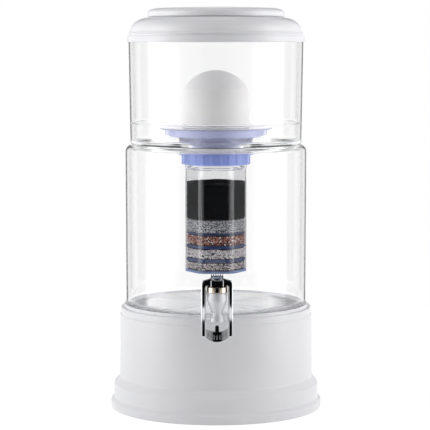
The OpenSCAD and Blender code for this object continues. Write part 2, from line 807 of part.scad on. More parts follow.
module tap_stem() {
    color("#d0d1d3") at_tap() difference() {
        union() {
            ring(foot_plate_r, 0, stem_foot, spring_foot);
            ring(stem_r, 0, stem_foot, stem_top);
        }
        translate([0, 0, pin_z]) rotate([0, 90, 0]) cylinder(r = pin_r + run_fit, h = 4 * stem_r, center = true);
    }
}

module tap_valve_seal() {
    color("#26262a") at_tap() ring(foot_plate_r - 0.2, 0, -seat_down, stem_foot);
}

// The coil spring: a round wire of eight sides swept along a helix
module tap_spring() {
    sides = 8;
    steps = 14 * spring_turns;
    mean = spring_r - wire_d / 2;
    rise = pocket_top - spring_foot - wire_d;
    function wire(i) = let (a = 360 * spring_turns * i / steps) [
        for (k = [0:sides - 1]) let (b = 360 * k / sides, r = mean + wire_d / 2 * cos(b))
            [r * cos(a), r * sin(a), spring_foot + wire_d / 2 + rise * i / steps + wire_d / 2 * sin(b)]
    ];
    points = [for (i = [0:steps]) each wire(i)];
    faces = concat(
        [[for (k = [0:sides - 1]) k]],
        [for (i = [0:steps - 1], k = [0:sides - 1]) let (m = (k + 1) % sides)
            [i * sides + k, (i + 1) * sides + k, (i + 1) * sides + m, i * sides + m]],
        [[for (k = [sides - 1:-1:0]) steps * sides + k]]
    );
    color("#a9abb0") at_tap() polyhedron(points, faces, convexity = 6);
}

// ---- lever ---------------------------------------------------------------------------------

// The frame of the lever seen from the front: shoulders, two arms and the push plate
module lever_frame() {
    head_top = sole_z + head_back - 2;
    arm_top = sole_z + pin_up;
    round_r = arm_w - 1;
    outer = concat(
        [[head_w - 1, head_top]],
        arc([arm_out - round_r, arm_top], round_r, 50, 0),
        arc([arm_out - arm_w / 2, arm_foot + arm_w / 2], arm_w / 2, 0, -90, 4)
    );
    inner = concat(
        [[arm_in, arm_foot]],
        arc([arm_in - arch_r, sole_z - arch_r], arch_r, 0, 90, 4),
        [[head_w - 1, sole_z]]
    );
    for (side = [0, 1]) mirror([side, 0, 0]) rotate([90, 0, 0])
        linear_extrude(arm_d, center = true) polygon(concat(outer, inner));
}

// The push plate: a U-shaped outline cut from an upright shell that is hollow towards the front
module push_plate() {
    half = arm_in + 1;
    sag_r = (half * half + push_sag * push_sag) / (2 * push_sag);
    edge = asin(half / sag_r);
    low = arc([0, push_foot + sag_r], sag_r, -90 - edge, -90 + edge, 12);
    high = arc([0, push_top + sag_r], sag_r, -90 + edge, -90 - edge, 12);
    shell_y = -push_r + push_mid_y;
    intersection() {
        rotate([90, 0, 0]) linear_extrude(8 * push_t, center = true) union() {
            polygon(concat(low, high));
            translate([0, push_top + tab_h - tab_r]) circle(r = tab_r, $fn = 32);
            translate([-tab_r, push_top - push_h / 2]) square([2 * tab_r, push_h / 2 + tab_h - tab_r]);
        }
        translate([0, shell_y, push_foot - 1]) difference() {
            cylinder(r = push_r + push_t, h = push_h + push_sag + tab_h + 2);
            translate([0, 0, -1]) cylinder(r = push_r, h = push_h + push_sag + tab_h + 4);
            translate([-2 * push_r, -3 * push_r, -1]) cube([4 * push_r, 3 * push_r, push_h + push_sag + tab_h + 4]);
        }
    }
}

// The head seen from the side: flat sole, sloping face and a raised thumb rest at the back
module lever_head() {
    face = [[-sole_d, sole_z + head_front], [sole_d - rest_out, sole_z + head_back]];
    slope = atan2(head_back - head_front, 2 * sole_d - rest_out);
    middle = (face[0] + face[1]) / 2;
    difference() {
        rotate([90, 0, 90]) linear_extrude(2 * head_w, center = true) polygon([
            [-sole_d, sole_z], face[0], face[1], [sole_d, sole_z + head_back],
            [sole_d + rest_out, sole_z + head_back - rest_out], [sole_d, sole_z + head_front],
            [sole_d, sole_z]
        ]);
        translate([0, middle[0], middle[1]]) rotate([slope, 0, 0])
            translate([0, 0, -dish_t]) cylinder(r = dish_r, h = 4 * dish_t);
    }
    pitch = 2 * head_w / (ridge_n - 0.4);
    for (i = [0:ridge_n - 1]) translate([-head_w + i * pitch, sole_d - rest_out, sole_z + head_back - 1])
        cube([0.6 * pitch, 2 * rest_out, ridge_h + 1]);
}

module tap_lever() {
    slot_d = stem_r + pin_up * tan(lever_tilt) + 2 * sole_gap;
    color("#c6c7ca") at_tap() difference() {
        union() {
            lever_head();
            lever_frame();
            push_plate();
        }
        translate([-stem_r - sole_gap, -slot_d, sole_z - eps])
            cube([2 * (stem_r + sole_gap), 2 * slot_d, pin_up + stem_past + 3 * sole_gap]);
        translate([0, 0, pin_z]) rotate([0, 90, 0]) cylinder(r = pin_r, h = 4 * head_w, center = true);
    }
}

module tap_lever_pin() {
    color("#9fa1a6") at_tap() translate([0, 0, pin_z]) rotate([0, 90, 0])
        cylinder(r = pin_r, h = 2 * head_w, center = true);
}

base();
lower_tank();
upper_tank();
lid();
dome_ceramic();
dome_base();
dome_washer();
dome_nut();
filter_seat();
seat_gasket();
lock_nut();
cartridge_cap();
cap_seal();
cartridge_housing();
carbon_bed();
zeolite_bed();
felt_upper();
mineral_bed();
felt_middle();
ball_bed();
felt_lower();
stone_bed();
cartridge_base();
tap_body();
tap_bonnet();
tap_outer_washer();
tap_inner_washer();
tap_nut();
tap_stem();
tap_valve_seal();
tap_spring();
tap_lever();
tap_lever_pin();
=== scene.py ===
import json

import bmesh
import bpy
import numpy as np
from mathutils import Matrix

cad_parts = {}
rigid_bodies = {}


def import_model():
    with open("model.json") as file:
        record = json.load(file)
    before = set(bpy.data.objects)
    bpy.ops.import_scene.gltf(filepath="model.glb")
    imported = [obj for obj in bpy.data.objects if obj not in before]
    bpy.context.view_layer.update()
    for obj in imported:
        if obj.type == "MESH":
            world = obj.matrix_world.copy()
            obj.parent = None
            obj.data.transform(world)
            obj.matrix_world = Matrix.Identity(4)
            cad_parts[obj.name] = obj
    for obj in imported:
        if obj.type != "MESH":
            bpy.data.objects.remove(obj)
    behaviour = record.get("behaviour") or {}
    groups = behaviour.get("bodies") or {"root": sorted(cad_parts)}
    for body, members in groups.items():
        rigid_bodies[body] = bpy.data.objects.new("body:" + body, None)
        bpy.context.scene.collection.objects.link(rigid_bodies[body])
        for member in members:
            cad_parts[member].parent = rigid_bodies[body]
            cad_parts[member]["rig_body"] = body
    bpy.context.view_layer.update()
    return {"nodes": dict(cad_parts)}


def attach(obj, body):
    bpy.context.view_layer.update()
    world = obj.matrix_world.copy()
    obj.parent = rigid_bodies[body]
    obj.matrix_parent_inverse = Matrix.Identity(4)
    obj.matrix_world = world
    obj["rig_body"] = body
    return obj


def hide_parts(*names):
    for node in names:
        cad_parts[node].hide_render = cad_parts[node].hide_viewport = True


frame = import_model()


# ---- The studio ----------------------------------------------------------------------------
# A white table that ends a metre in front of the filter, a tall soft box at each side, a grey
# ceiling, and a dark room behind the camera, which polished metal mirrors as black stripes.
# Narrow dark gaps in the back wall draw the edges of the clear tanks.

scene = bpy.context.scene
scene.view_settings.view_transform = "Standard"
# The camera stands 2.4 m in front of the filter and looks a little down on it
camera = bpy.data.objects.new("camera", bpy.data.cameras.new("camera"))
scene.collection.objects.link(camera)
camera.location = (-0.0236, -2.4, 0.472)
camera.rotation_euler = (np.radians(90 - 5.224), 0, np.radians(-0.535))
camera.data.lens = 153.17
camera.data.sensor_width = 36
scene.camera = camera


def node(tree, kind, inputs=None, **settings):
    """Adds a shader node. inputs gives each socket a value, or the output that feeds it, where
    a node stands for its first output in use."""
    added = tree.nodes.new("ShaderNode" + kind)
    for name, value in settings.items():
        setattr(added, name, value)
    for socket, value in (inputs or {}).items():
        if isinstance(value, bpy.types.Node):
            value = next(output for output in value.outputs if output.enabled)
        if isinstance(value, bpy.types.NodeSocket):
            tree.links.new(value, added.inputs[socket])
        else:
            added.inputs[socket].default_value = value
    return added


scene.world = bpy.data.worlds.new("studio")
scene.world.use_nodes = True
room = scene.world.node_tree
room.nodes.clear()
way = node(room, "SeparateXYZ", {0: node(room, "TexCoord").outputs["Generated"]}).outputs
aside = node(room, "Math", {0: way["X"]}, operation="ABSOLUTE")
ahead = node(room, "Math", {0: way["Y"], 1: -1.0}, operation="MULTIPLY")
bearing = node(room, "Math", {0: aside, 1: ahead}, operation="ARCTAN2")
half_turn = node(room, "MapRange", {"Value": bearing, "From Max": np.pi})


def around(stops):
    """Brightness by the angle from straight in front of the tap, 0, to straight behind, 180."""
    ramp = node(room, "ValToRGB", {"Fac": half_turn})
    while len(ramp.color_ramp.elements) < len(stops):
        ramp.color_ramp.elements.new(0.5)
    for stop, (angle, light) in zip(ramp.color_ramp.elements, stops):
        stop.position = angle / 180
        stop.color = (light, light, light, 1)
    return ramp


ray = node(room, "LightPath").outputs
up = node(room, "MapRange", {"Value": way["Z"], "From Min": 0.6, "From Max": 0.85},
          interpolation_type="SMOOTHSTEP")
# From dark ahead by a grey wall to the soft boxes, and on to the back wall with its dark gaps
walls = around([(16, 0.004), (21, 0.28), (44, 0.4), (60, 1.4), (75, 3.0), (98, 3.0), (104, 0.9),
                (116, 0.75), (140, 0.8), (160, 0.9), (163, 0.08), (175.5, 0.08), (176.5, 1.0)])
# Pieces inside the tanks mirror walls with a wide dark gap behind each soft box
inner = around([(16, 0.004), (21, 0.3), (44, 0.42), (60, 1.4), (75, 1.5), (102, 1.5), (106, 0.06),
                (131, 0.06), (138, 0.95), (159, 0.95), (163, 0.08), (175.5, 0.08), (176.5, 1.0)])
deep = node(room, "Math", {0: ray["Transmission Depth"], 1: 3.5}, operation="GREATER_THAN")
within = node(room, "Math", {0: deep, 1: ray["Diffuse Depth"]}, operation="SUBTRACT", use_clamp=True)
pattern = node(room, "Mix", {0: within, 6: walls, 7: inner}, data_type="RGBA")
# The ceiling lights matt pieces, more so inside the tanks, which gather its light. Metal
# mirrors it dark, and clear walls mirror it white
matt_sky = node(room, "MapRange", {"Value": ray["Transmission Depth"], "From Max": 2.0,
                                   "To Min": 0.34, "To Max": 0.75})
metal_sky = node(room, "MapRange", {"Value": ray["Glossy Depth"], "To Min": matt_sky, "To Max": 0.04})
passed = node(room, "Math", {0: ray["Transmission Depth"], 1: ray["Diffuse Depth"]},
              operation="GREATER_THAN")
in_wall = node(room, "Math", {0: passed, 1: ray["Diffuse Depth"]}, operation="SUBTRACT", use_clamp=True)
above = node(room, "Mix", {0: in_wall, 6: metal_sky, 7: (1, 1, 1, 1)}, data_type="RGBA")
studio = node(room, "Mix", {0: up, 6: pattern, 7: above}, data_type="RGBA")
# Metal that mirrors metal goes dark: the bonnet between the lever's arms, the thumb ridges
again = node(room, "Math", {0: ray["Glossy Depth"], 1: 1.5}, operation="GREATER_THAN")
twice = node(room, "Math", {0: again, 1: ray["Transmission Depth"]},
             operation="SUBTRACT", use_clamp=True)
dimmed = node(room, "Mix", {0: twice, 6: studio, 7: (0.015, 0.015, 0.015, 1)}, data_type="RGBA")
# The camera sees white, also straight through clear pieces
unmirrored = node(room, "Math", {0: ray["Glossy Depth"], 1: 0.5}, operation="LESS_THAN")
through = node(room, "Math", {0: unmirrored, 1: ray["Is Transmission Ray"]}, operation="MULTIPLY")
seen = node(room, "Math", {0: through, 1: ray["Is Camera Ray"]}, operation="MAXIMUM")
shown = node(room, "Mix", {0: seen, 6: dimmed, 7: (1, 1, 1, 1)}, data_type="RGBA")
light = node(room, "Background", {"Color": shown})
node(room, "OutputWorld", {"Surface": light})

table_half, table_front = 0.9, -1.216
table = bpy.data.meshes.new("table")
table.from_pydata([(-table_half, table_front, 0), (table_half, table_front, 0),
                   (table_half, table_half, 0), (-table_half, table_half, 0)], [], [(0, 1, 2, 3)])
table_piece = bpy.data.objects.new("table", table)
scene.collection.objects.link(table_piece)

# White paper: matt grey-white to the light it sends up, and nearly white to the camera, to
# clear walls and to metal, with the stand's soft shadow on it
paper = bpy.data.materials.new("white_paper_sweep")
paper.use_nodes = True
tree = paper.node_tree
tree.nodes.clear()
matt = node(tree, "BsdfDiffuse", {"Color": (0.86, 0.86, 0.86, 1)})
glow = node(tree, "Emission", {"Color": (1, 1, 1, 1), "Strength": 1.3})
lit = node(tree, "MixShader", {0: 0.35, 1: glow, 2: matt})
glance = node(tree, "LightPath").outputs
reflected = node(tree, "Math", {0: glance["Is Glossy Ray"],
                                1: glance["Is Transmission Ray"]}, operation="MAXIMUM")
looked_at = node(tree, "Math", {0: reflected, 1: glance["Is Camera Ray"]}, operation="MAXIMUM")
sheet = node(tree, "MixShader", {0: looked_at, 1: matt, 2: lit})
# Metal sees the dark room in place of the strip half a metre to a metre in front of the filter
spot = node(tree, "SeparateXYZ", {0: node(tree, "NewGeometry").outputs["Position"]})
strip = node(tree, "Math", {0: spot.outputs["Y"], 1: -0.76, 2: 0.30}, operation="COMPARE")
bare = node(tree, "Math", {0: glance["Transmission Depth"], 1: 0.5}, operation="LESS_THAN")
metal = node(tree, "Math", {0: bare, 1: glance["Is Glossy Ray"]}, operation="MULTIPLY")
unseen = node(tree, "Math", {0: strip, 1: metal}, operation="MULTIPLY")
covered = node(tree, "MixShader", {0: unseen, 1: sheet, 2: node(tree, "BsdfTransparent")})
node(tree, "OutputMaterial", {"Surface": covered})
table.materials.append(paper)


# ---- The stand -----------------------------------------------------------------------------
# One hollow moulding in white ABS: a foot band, a plinth, a tall wall with a little draft, a
# narrower band under the rim, and a thin lip that keeps the tank in place. Eight ribs stiffen
# the deck from below.


def linear(code):
    """The linear colour of an sRGB hex code: a straight foot, then the 2.4 power."""
    srgb = np.array([int(code[i:i + 2], 16) for i in (1, 3, 5)]) / 255
    rgb = np.where(srgb <= 0.04045, srgb / 12.92, ((srgb + 0.055) / 1.055) ** 2.4)
    return (*rgb.tolist(), 1.0)


def material(name, colour, **sockets):
    """A material. sockets sets its shader's plain values, with _ for a space in their names."""
    made = bpy.data.materials.new(name)
    made.use_nodes = True
    shader = made.node_tree.nodes["Principled BSDF"]
    shader.inputs["Base Color"].default_value = linear(colour)
    for socket, value in sockets.items():
        shader.inputs[socket.replace("_", " ")].default_value = value
    node(made.node_tree, "TexCoord", name="place")
    return made


def parts(made):
    """A material's node tree, its Principled shader, and the place on the piece, in metres."""
    tree = made.node_tree
    return tree, tree.nodes["Principled BSDF"], tree.nodes["place"].outputs["Object"]


def mottled(made, patch, detail, first, second):
    """Lets the colour drift between two hex codes, over patches this many millimetres wide."""
    tree, shader, place = parts(made)
    drift = node(tree, "TexNoise", {"Vector": place, "Scale": 1000 / patch, "Detail": detail})
    tone = node(tree, "Mix", {0: drift, 6: linear(first), 7: linear(second)}, data_type="RGBA")
    tree.links.new(tone.outputs[2], shader.inputs["Base Color"])


def uneven(made, patch, detail, low, high):
    """Lets the roughness drift between low and high, over patches of patch millimetres."""
    tree, shader, place = parts(made)
    drift = node(tree, "TexNoise", {"Vector": place, "Scale": 1000 / patch, "Detail": detail})
    polish = node(tree, "MapRange", {"Value": drift, "To Min": low, "To Max": high})
    tree.links.new(polish.outputs[0], shader.inputs["Roughness"])


def dented(made, dent, detail, strength, depth):
    """Dents the surface: dents of dent millimetres, depth millimetres deep at full strength."""
    tree, shader, place = parts(made)
    dents = node(tree, "TexNoise", {"Vector": place, "Scale": 1000 / dent, "Detail": detail})
    skin = node(tree, "Bump", {"Height": dents, "Strength": strength, "Distance": depth / 1000})
    tree.links.new(skin.outputs[0], shader.inputs["Normal"])


def directions(corner):
    """Unit vectors from each corner of an outline to the corner before it and the one after."""
    back, forth = np.roll(corner, 1, 0) - corner, np.roll(corner, -1, 0) - corner
    return (back / np.linalg.norm(back, axis=1, keepdims=True),
            forth / np.linalg.norm(forth, axis=1, keepdims=True))


def rounded(corners, steps=6):
    """The outline through corners (across, up, radius), each cut by an arc that touches both
    its edges: its centre lies on the bisector, radius / sin(half the angle) from the corner."""
    corners = np.array(corners, float)
    corner, radius = corners[:, :2], corners[:, 2:]
    back, forth = directions(corner)
    half = np.arccos(np.clip((back * forth).sum(1, keepdims=True), -1, 1)) / 2
    middle = back + forth
    middle /= np.maximum(np.linalg.norm(middle, axis=1, keepdims=True), 1e-9)
    centre = corner + middle * radius / np.sin(half)
    first = corner + back * radius / np.tan(half) - centre
    last = corner + forth * radius / np.tan(half) - centre
    start = np.arctan2(first[:, 1], first[:, 0])
    turn = np.arctan2(first[:, 0] * last[:, 1] - first[:, 1] * last[:, 0], (first * last).sum(1))
    angle = start[:, None] + turn[:, None] * np.linspace(0, 1, steps + 1)
    arc = np.stack([np.cos(angle), np.sin(angle)], -1) * radius[:, None]
    points = (centre[:, None] + arc).reshape(-1, 2)
    return points[np.linalg.norm(points - np.roll(points, 1, 0), axis=1) > 1e-4]


def loft(rings, closed=True):
    """The surface over a grid of points, ring by ring: point j of ring i joins j + 1 and ring
    i + 1. The last ring joins the first, or else both get a cap. Faces with no area go."""
    count, span = rings.shape[:2]
    i, j = np.meshgrid(np.arange(count if closed else count - 1), np.arange(span), indexing="ij")
    on, next_i, next_j = i * span, (i + 1) % count * span, (j + 1) % span
    faces = np.stack([on + j, on + next_j, next_i + next_j, next_i + j], -1).reshape(-1, 4)
    points = rings.reshape(-1, 3)
    a, b, c, d = (points[faces[:, k]] for k in range(4))
    faces = faces[np.linalg.norm(np.cross(c - a, d - b), axis=1) > 1e-8].tolist()
    if not closed:
        faces.append(list(range(span - 1, -1, -1)))
        faces.append(list(range((count - 1) * span, count * span)))
    return points, faces


def about_z(r, a, z):
    """Points about Z at radius r, angle a and height z: x = r cos a, y = r sin a."""
    return np.stack([r * np.cos(a), r * np.sin(a), z + 0 * a], -1)


def lathe(outline, turns=192, ripple=None):
    """Turns a closed outline of (radius, height), which runs up its outer side, about Z.
    ripple(r, z, a) gives the radius where it isn't round."""
    a = np.arange(turns) * 2 * np.pi / turns
    r, z = outline[:, :1] + 0 * a, outline[:, 1:] + 0 * a
    if ripple:
        r = ripple(r, z, a)
    return loft(about_z(r, a, z))


def mesh_of(name, shape, unit=0.001, **marks):
    """The mesh of a shape in millimetres, with its seam and poles merged. marks holds numbers
    for its points, each list under its name."""
    points, faces = shape
    mesh = bpy.data.meshes.new(name)
    mesh.from_pydata((points * unit).tolist(), [], faces)
    for mark, numbers in marks.items():
        mesh.attributes.new(mark, "FLOAT", "POINT").data.foreach_set("value", numbers)
    build = bmesh.new()
    build.from_mesh(mesh)
    bmesh.ops.remove_doubles(build, verts=build.verts, dist=unit / 1000)
    build.to_mesh(mesh)
    build.free()
    return mesh


def worked(shape, joined=(), cut=()):
    """The shape with other shapes joined to it, and then others cut from it."""
    blank = bpy.data.objects.new("blank", mesh_of("blank", shape, unit=1))
    scene.collection.objects.link(blank)
    tools = []
    for operation, others in (("UNION", joined), ("DIFFERENCE", cut)):
        for other in others:
            tool = bpy.data.objects.new("tool", mesh_of("tool", other, unit=1))
            scene.collection.objects.link(tool)
            step = blank.modifiers.new("step", "BOOLEAN")
            step.operation, step.solver, step.object = operation, "EXACT", tool
            tools.append(tool)
    done = blank.evaluated_get(bpy.context.evaluated_depsgraph_get()).to_mesh()
    points = np.zeros(len(done.vertices) * 3)
    done.vertices.foreach_get("co", points)
    faces = [list(polygon.vertices) for polygon in done.polygons]
    for made in (blank, *tools):
        bpy.data.objects.remove(made)
    return points.reshape(-1, 3), faces


def put(name, shape, made_of, slot, *nodes, edge=32, **marks):
    """Adds a piece that stands for its CAD nodes and rides on their body. It is shaded smooth
    where its faces meet at less than edge degrees."""
    mesh = mesh_of(name, shape, **marks)
    mesh.shade_smooth()
    mesh.set_sharp_from_angle(angle=np.radians(edge))
    mesh.materials.append(made_of)
    piece = bpy.data.objects.new(name, mesh)
    scene.collection.objects.link(piece)
    piece.modifiers.new("even_shading", "WEIGHTED_NORMAL").keep_sharp = True
    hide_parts(*nodes)
    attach(piece, frame["nodes"][nodes[0]]["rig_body"])


# Injection-moulded ABS from a fine satin mould: soft broad highlights, a trace of orange peel,
# and a faint unevenness of tone where the plastic flowed.
white_abs = material("white_abs", "#f3f3f6", Roughness=0.3, IOR=1.54)
mottled(white_abs, 55.6, 3.0, "#f0f0f4", "#f6f6f8")
uneven(white_abs, 55.6, 3.0, 0.25, 0.36)
dented(white_abs, 1.43, 2.0, 0.05, 0.1)

foot_r, plinth_r, wall_foot_r, wall_top_r, band_r = 138.8, 134.7, 127.3, 126.3, 125.0
foot_z, plinth_foot, plinth_z, wall_foot, wall_top, band_z = 10.0, 14.0, 32.0, 41.0, 123.2, 124.5
rim_z, deck_z, wall = 133.0, 131.0, 3.0
lip_in, lip_out, lip_z = 119.0, 120.4, 137.0
shell = lathe(rounded([
    (foot_r - wall, 0, 0.5), (foot_r, 0, 1.2), (foot_r, foot_z, 1.8), (plinth_r, plinth_foot, 2.0),
    (plinth_r, plinth_z, 1.6), (wall_foot_r, wall_foot, 3.0), (wall_top_r, wall_top, 0.6),
    (band_r, band_z, 0.6), (band_r, rim_z, 2.0), (lip_out, rim_z, 0.6), (lip_out, lip_z, 0.65),
    (lip_in, lip_z, 0.65), (lip_in, deck_z, 0.3), (0, deck_z, 0), (0, deck_z - wall, 0),
    (band_r - wall, deck_z - wall, 1.0), (band_r - wall, band_z - wall, 0.5),
    (wall_top_r - wall, wall_top - wall, 0.5), (wall_foot_r - wall, wall_foot - 1, 2.0),
    (plinth_r - wall, plinth_z - 1, 1.0), (plinth_r - wall, plinth_foot, 1.0),
    (foot_r - wall, foot_z, 1.0),
]), turns=256)
rib_count, rib_in, rib_out, rib_low, rib_high, rib_half = 8, 52.0, 123.4, 106.0, 129.0, 1.2
ribs = []
for turn in (np.arange(rib_count) + 0.5) * 2 * np.pi / rib_count:
    out = np.array([np.cos(turn), np.sin(turn), 0])
    across = np.array([-np.sin(turn), np.cos(turn), 0])
    corners = np.array([out * r + across * side for r, side in (
        (rib_in, -rib_half), (rib_out, -rib_half), (rib_out, rib_half), (rib_in, rib_half))])
    ribs.append(loft(np.stack([corners + [0, 0, rib_low], corners + [0, 0, rib_high]]), closed=False))
put("stand", worked(shell, joined=ribs), white_abs, "white_shell", "base")


# ---- The lower tank ------------------------------------------------------------------------
# A pressed clear vessel with a 4 mm wall, a rounded shoulder and heel, and a wide round mouth
# that the upper tank stands on. A hole for the tap is drilled low in its front.


def clear(name, colour, density=0.0, body="#ffffff", milk=0.0, **sockets):
    """A clear material: glass for what the camera and mirrors see, but open to the light that
    falls on what is inside, and after four reflections, so that no light is lost in it. density
    colours it by thickness, and milk is the cloudy share of its body."""
    made = material(name, body, Transmission_Weight=1.0 - milk, **sockets)
    tree, shader, _ = parts(made)
    ray = node(tree, "LightPath").outputs
    open_way = node(tree, "BsdfTransparent")
    spent = node(tree, "Math", {0: ray["Glossy Depth"], 1: 3.5}, operation="GREATER_THAN")
    free = node(tree, "Math", {0: spent, 1: ray["Is Diffuse Ray"]}, operation="MAXIMUM")
    inside = node(tree, "MixShader", {0: free, 1: shader, 2: open_way})
    lit = node(tree, "MixShader", {0: ray["Is Shadow Ray"], 1: inside, 2: open_way})
    out = tree.nodes["Material Output"]
    tree.links.new(lit.outputs[0], out.inputs["Surface"])
    if density:
        dye = node(tree, "VolumeAbsorption", {"Color": linear(colour), "Density": density})
        tree.links.new(dye.outputs[0], out.inputs["Volume"])
    return made


# Pressed soda glass, fire-polished: clear, with slow waves in its surface that bend the lines
# seen through it, and a cold grey-blue where the eye looks along the wall.
tank_glass = clear("pressed_clear_glass", "#c8d2dc", density=1.5, Roughness=0.0, IOR=1.37)
dented(tank_glass, 71.4, 1.0, 0.03, 2.0)

tank_out, tank_foot, tank_wall, tank_floor, mouth_r, floor_z = 118.5, 117.9, 4.0, 6.0, 105.0, 346.0
vessel = lathe(rounded([
    (0, deck_z, 0), (tank_foot, deck_z, 10), (tank_out, floor_z, 9.5), (mouth_r, floor_z, 1.2),
    (mouth_r, floor_z - tank_wall, 1.2), (tank_out - tank_wall, floor_z - tank_wall, 5.5),
    (tank_foot - tank_wall, deck_z + tank_floor, 6), (0, deck_z + tank_floor, 0),
], steps=10), turns=256)
tap_z, hole_r, drill_end = 163.0, 8.6, 12.0


def oblong(left, right, low, high, radii=(0, 0, 0, 0)):
    """Corners of a rectangle with their radii: low left, low right, high right, high left."""
    corners = ((left, low), (right, low), (right, high), (left, high))
    return [(*corner, radius) for corner, radius in zip(corners, radii)]


def along_y(shape, y=0.0, z=0.0):
    """Lays a turned shape down: its own Z runs along Y, and its origin is at y and z."""
    points, faces = shape
    return points[:, [0, 2, 1]] * [1, 1, -1] + [0, y, z], faces


drill = along_y(lathe(rounded(oblong(0, hole_r, -drill_end, drill_end)), turns=64),
                -tank_out, tap_z)
put("lower_tank_glass", worked(vessel, cut=[drill]), tank_glass, "tank_glass", "lower_tank")


# ---- The upper tank ------------------------------------------------------------------------
# The same glass, narrower, with a rounded bottom edge, a thicker wall, a polished rim, and a
# hole in the middle of its floor for the filter's collar. A fine groove runs round its inside,
# just above the seat.

rim_top, upper_foot, upper_top, upper_wall, inner_floor = 485.0, 111.9, 114.1, 4.5, 351.0
collar_hole, groove_in, groove_out, groove_z, groove_half = 34.3, 107.9, 109.1, 374.5, 0.9
put("upper_tank_glass", lathe(rounded([
    (collar_hole, floor_z + 0.05, 0.6), (upper_foot, floor_z + 0.05, 4), (upper_top, rim_top, 1.1),
    (upper_top - upper_wall, rim_top, 1.1), (groove_in, groove_z + groove_half, 0.3),
    (groove_out, groove_z, 0.3), (groove_in, groove_z - groove_half, 0.3),
    (upper_foot - upper_wall, inner_floor, 2.5), (collar_hole, inner_floor, 0.6),
], steps=10), turns=256), tank_glass, "tank_glass", "upper_tank")


# ---- The lid -------------------------------------------------------------------------------
# A hollow moulding in the same ABS: a thin lip round the tank's rim, a bead above it, a
# shoulder curved like a quarter of an ellipse, a narrow groove, and a disc to lift it by.

lid_r, lid_in, lid_top, lid_wall = 115.5, 114.5, 525.0, 2.2
lid_foot, lid_lip, lid_deck, lid_hollow, waist_r, bead_r, bead_z, bead_top = (
    479.5, 487.2, 485.05, 520.1, 112.35, 113.4, 490.0, 492.1)
shoulder_r, shoulder_z, tier_r, tier_z = 111.4, 493.8, 84.8, 511.4
neck_r, disc_r, disc_z, disc_edge, disc_roll, crown = 86.1, 89.1, 512.4, 15.95, 6.6, 1.6
quarter = np.linspace(0, np.pi / 2, 17)
shoulder = np.column_stack([tier_r + (shoulder_r - tier_r) * np.cos(quarter),
                            shoulder_z + (tier_z - shoulder_z) * np.sin(quarter)])
flat_r = disc_r - disc_edge
disc = np.column_stack([flat_r + disc_edge * np.cos(quarter),
                        lid_top - crown - disc_roll + disc_roll * np.sin(quarter)])
crown_r = np.linspace(flat_r, 0, 12)[1:]
top = np.column_stack([crown_r, lid_top - crown * (crown_r / flat_r) ** 2])
bare = np.zeros((len(quarter), 1))
put("lid_shell", lathe(rounded(np.vstack([
    [(lid_in, lid_foot, 0.3), (lid_r, lid_foot, 0.45), (lid_r, lid_lip, 0.7),
     (waist_r, lid_lip, 0.4), (waist_r, bead_z, 0.3), (bead_r, bead_z, 1.0),
     (bead_r, bead_top, 1.0), (waist_r + 0.05, bead_top, 0.3)],
    np.hstack([shoulder, bare])[:-1],
    [(neck_r, tier_z, 0.25), (neck_r, disc_z, 0.25), (disc_r, disc_z, 0.5)],
    np.hstack([disc, bare]), np.hstack([top, bare[:len(top)]]),
    [(0, lid_top - lid_wall, 0), (flat_r, lid_top - crown - lid_wall, 1.0),
     (tier_r - lid_wall, lid_hollow, 1.0), (tier_r - lid_wall, tier_z - lid_wall, 0.8)],
    np.hstack([shoulder - [lid_wall, lid_wall], bare])[::-1][1:],
    [(shoulder_r - lid_wall, lid_deck, 0.5), (lid_in, lid_deck, 0.3)],
])), turns=256), white_abs, "lid_shell", "lid")


# ---- The filter seat, its gasket and its lock nut ------------------------------------------
# The seat is moulded in clear blue SAN: a thin flange that carries the dome, a skirt, and a
# hollow threaded collar that passes through the tank's floor. A soft clear gasket seals it,
# and a pale lilac nut with finger notches pulls it down from below.


def fine(outline, step, low, high):
    """Splits an outline's edges between two heights into equal lengths no longer than step."""
    ends = np.roll(outline, -1, 0)
    run = np.linalg.norm(ends - outline, axis=1)
    foot, top = np.minimum(outline[:, 1], ends[:, 1]), np.maximum(outline[:, 1], ends[:, 1])
    near = (foot < high) & (top > low)
    pieces = np.where(near, np.ceil(run / step), 1).astype(int)
    edge = np.repeat(np.arange(len(outline)), pieces)
    share = (np.arange(len(edge)) - np.repeat(np.cumsum(pieces) - pieces, pieces)) / pieces[edge]
    return outline[edge] + (ends - outline)[edge] * share[:, None]


def thread(z, a, pitch, low, high):
    """How deep a helical groove is, from 0 to 1: a clipped cosine of the height in pitches
    less the angle in turns, faded out at both its ends."""
    wave = np.clip(0.5 + 1.2 * np.cos(2 * np.pi * z / pitch - a), 0, 1)
    return wave * np.clip(z - low, 0, 1) * np.clip(high - z, 0, 1)


# Transparent SAN with a blue dye: light where it is thin, navy where the eye looks along a
# flange, and as glossy as the mould.
seat_san = clear("blue_tinted_san", "#5a70c4", density=9.0, body="#e2e6ff", milk=0.3,
                 Roughness=0.04, IOR=1.56)
dented(seat_san, 16.7, 2.0, 0.12, 1.0)

